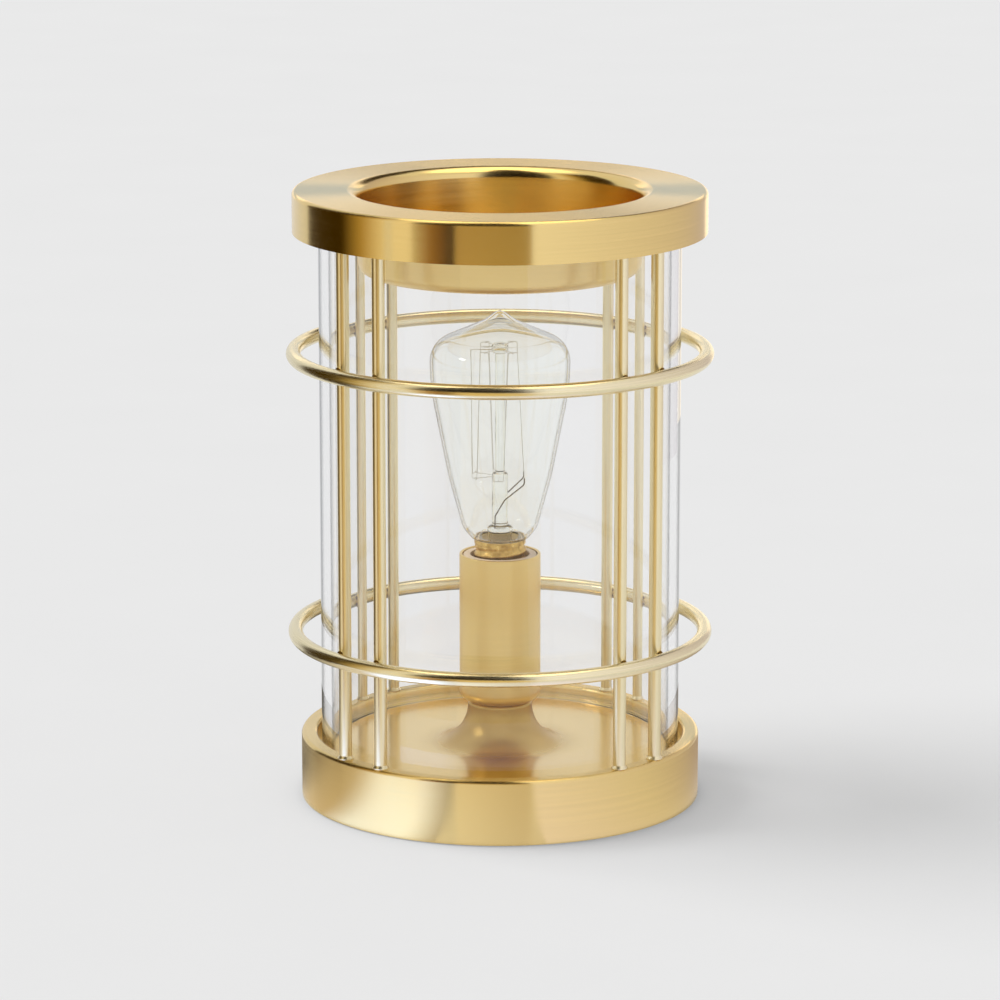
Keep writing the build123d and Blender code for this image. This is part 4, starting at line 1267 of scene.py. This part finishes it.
class WARMER_OT_stage(bpy.types.Operator):
    """Sets the studio: paper floor, soft light, reflecting cards and the camera."""

    bl_idname = "warmer.stage"
    bl_label = "Studio"
    bl_options = {"REGISTER", "UNDO"}

    def execute(self, context):
        """Lays the floor, lights it, stands the cards and places the camera."""
        scene = context.scene
        stage = scene.warmer_stage
        scene.view_settings.view_transform = "Standard"
        scene.cycles.max_bounces = scene.cycles.transmission_bounces = 32
        scene.cycles.glossy_bounces = 10
        self.floor(stage)
        self.world(scene, stage)
        self.key(scene, stage)
        self.cards()
        self.camera(scene, stage)
        return {"FINISHED"}

    def floor(self, stage):
        """A wide sheet of pale paper."""
        shape = bmesh.new()
        half_width = 6.0
        bmesh.ops.create_grid(shape, x_segments=1, y_segments=1, size=half_width)
        paper = from_bmesh("paper_floor", shape)
        material, tree, shader = principled("matt_paper", stage.pale, 0.9, Specular_IOR_Level=0.0)
        vary(tree, shader, spots(tree, 60 * MM), (shaded(stage.pale, 0.99), stage.pale))
        paint(paper, material)

    def world(self, scene, stage):
        """Soft light for matt surfaces, and the paper's colour for what mirrors or looks past the floor."""
        world = bpy.data.worlds.new("studio")
        scene.world = world
        world.use_nodes = True
        tree = world.node_tree
        tree.nodes.clear()
        path = add_node(tree, "ShaderNodeLightPath").outputs
        seen = path["Is Camera Ray"]
        for kind in ("Is Glossy Ray", "Is Transmission Ray"):
            seen = add_node(tree, "ShaderNodeMath", {0: seen, 1: path[kind]}, operation="MAXIMUM").outputs[0]
        soft = add_node(tree, "ShaderNodeBackground", {"Color": (1, 1, 1, 1), "Strength": stage.soft})
        pale = add_node(tree, "ShaderNodeBackground", {"Color": (*stage.pale, 1), "Strength": 1.0})
        both = add_node(tree, "ShaderNodeMixShader", {0: seen, 1: soft.outputs[0], 2: pale.outputs[0]})
        add_node(tree, "ShaderNodeOutputWorld", {"Surface": both.outputs[0]})

    def key(self, scene, stage):
        """One wide lamp from the upper left, whose soft shadow falls to the right."""
        lamp = bpy.data.lights.new("key", "SUN")
        lamp.energy = stage.key
        lamp.angle = stage.key_width
        light = bpy.data.objects.new("key", lamp)
        scene.collection.objects.link(light)
        across = math.cos(stage.key_height)
        source = Vector((across * math.cos(stage.key_turn), across * math.sin(stage.key_turn),
                         math.sin(stage.key_height)))
        light.rotation_euler = source.to_track_quat("Z", "Y").to_euler()
        light.visible_glossy = light.visible_transmission = False

    def cards(self):
        """The cards whose mirror images give the brass its light and dark bands."""
        near, far, back, floor = 0.2, 0.45, 1.0, 0.3 * MM
        wall = [(near, floor), (near, 0.42)]
        apron = [(0.16, floor), (far, floor), (far, 0.2)]
        over_back = [(back, 0.54), (back, 1.35)]
        card("card_back_left", -174, -117, [(near, floor), (near, 0.16)], "#F4F5F8", 0.84)
        card("flag_left", -117, -85, [(0.125, floor), *wall], "#3A2A00")
        card("fade_left_low", -85, -72, wall, ("#3A2A00", "#BC9E58"))
        card("fade_left", -72, -58, wall, ("#BC9E58", "#F4EAD0"))
        card("softbox_left", -58, -46.5, [(far, floor), (far, 0.9)], "#F6EEDA", 1.05)
        card("fade_front", -46.5, -36.5, apron, ("#F6E8C4", "#B4822C"))
        card("fade_low", -36.5, -23.5, apron, ("#B4822C", "#1E1000"))
        card("room_front", -23.5, 16.3, [*apron[:2], (far, 0.12)], ("#E8CA8A", "#D6BC7E"))
        card("flag_front_high", -46, 16.3, [(far, 0.121), (far, 1.0), (0.07, 1.1)], "#180E00")
        card("softbox_right", 16.3, 150, [(far, floor), (far, 0.6)], ("#F3F4FC", "#BCB4B8"), 1.15)
        card("warm_back_low", 150, 210, [(0.5, floor), (back, floor), (back, 0.25)], "#FFF4E4", 1.36)
        card("cool_back", 150, 210, [(back, 0.25), (back, 0.38)], "#C0CBD6")
        card("warm_back_high", 150, 210, [(back, 0.38), (back, 0.54)], "#FFF4E6", 1.5)
        card("flag_back_high", 140, 176, over_back, "#2A1E0A")
        card("fade_back_high", 176, 192, over_back, ("#2A1E0A", "#E6DCC8"))
        card("softbox_above", -180, 180, [(0.56, 1.16), (0.0, 1.16)], "#FFF4D8", 2.3)
        foot = [(0.0535, 0.2 * MM), (0.125, 0.2 * MM)]  # round the base's foot, mirrored in its wall: painted shade and painted pools of light on the floor there, seen only in reflections
        card("foot_left", -180, -110, foot, ("#6E6A62", "#7E7A72"))
        card("foot_side", -110, -84, foot, ("#7E7A72", "#DCD4CA"))
        card("foot_near", -84, -66, foot, ("#DCD4CA", "#E2D8CE"))
        card("foot_glow_in", -66, -52, foot, ("#8C857E", "#B8CAFF"), 2.8)
        card("foot_glow", -52, -31, foot, "#B8CAFF", 2.8)
        card("foot_glow_out", -31, -19, foot, ("#B8CAFF", "#84868E"), 2.8)
        card("foot_front", -19, 13.5, foot, ("#EAEFFF", "#C8C6CC"), 1.26)
        card("foot_right", 13.5, 62, foot, ("#E1E0FF", "#D0CECE"), 1.26)
        card("foot_far_right", 62, 130, foot, ("#D0CECE", "#917F6F"), 1.26)
        card("foot_back", 130, 180, foot, "#A8A098")
        card("lamp_window", -82, -70, [(0.8, 0.58), (0.8, 0.76)], "#FFFFFF", 7.0, seen_by="transmission")

    def camera(self, scene, stage):
        """The photograph's viewpoint."""
        data = bpy.data.cameras.new("camera")
        data.lens = stage.lens
        data.sensor_width = 36
        camera = bpy.data.objects.new("camera", data)
        camera.location = (0, -stage.distance, stage.camera_height)
        camera.rotation_euler = (stage.tilt, 0, 0)
        scene.collection.objects.link(camera)
        scene.camera = camera


# The panel and the running order

OPERATORS = (WARMER_OT_stage, WARMER_OT_dish, WARMER_OT_base, WARMER_OT_cage, WARMER_OT_chimney,
             WARMER_OT_socket, WARMER_OT_lamp_cap, WARMER_OT_lamp_glass, WARMER_OT_filament,
             WARMER_OT_hardware)
GROUPS = {"warmer_brass": WarmerBrass, "warmer_dish": WarmerDish, "warmer_base": WarmerBase,
          "warmer_cage": WarmerCage, "warmer_glass": WarmerGlass, "warmer_lamp": WarmerLamp,
          "warmer_stage": WarmerStage}


class WARMER_PT_sidebar(bpy.types.Panel):
    """Lists the warmer's pieces with their sizes and colours."""

    bl_idname = "WARMER_PT_sidebar"
    bl_label = "Scent warmer"
    bl_space_type = "VIEW_3D"
    bl_region_type = "UI"
    bl_category = "Warmer"

    def draw(self, context):
        """Draws a button for each operator and a box for each group of values."""
        for operator in OPERATORS:
            self.layout.operator(operator.bl_idname)
        for name, group in GROUPS.items():
            box = self.layout.box()
            box.label(text=group.__doc__)
            for label in group.__annotations__:
                box.prop(getattr(context.scene, name), label)


def register():
    """Adds the groups, the operators and the panel."""
    for name, group in GROUPS.items():
        bpy.utils.register_class(group)
        setattr(bpy.types.Scene, name, bpy.props.PointerProperty(type=group))
    for entry in (*OPERATORS, WARMER_PT_sidebar):
        bpy.utils.register_class(entry)


def unregister():
    """Takes them away again."""
    for entry in reversed((*OPERATORS, WARMER_PT_sidebar)):
        bpy.utils.unregister_class(entry)
    for name, group in GROUPS.items():
        delattr(bpy.types.Scene, name)
        bpy.utils.unregister_class(group)


def main():
    """Builds the stage and every piece."""
    register()
    bpy.ops.warmer.stage()
    bpy.ops.warmer.dish()
    bpy.ops.warmer.base()
    bpy.ops.warmer.cage()
    bpy.ops.warmer.chimney()
    bpy.ops.warmer.socket()
    bpy.ops.warmer.lamp_cap()
    bpy.ops.warmer.lamp_glass()
    bpy.ops.warmer.filament()
    bpy.ops.warmer.hardware()


if __name__ == "__main__":
    main()
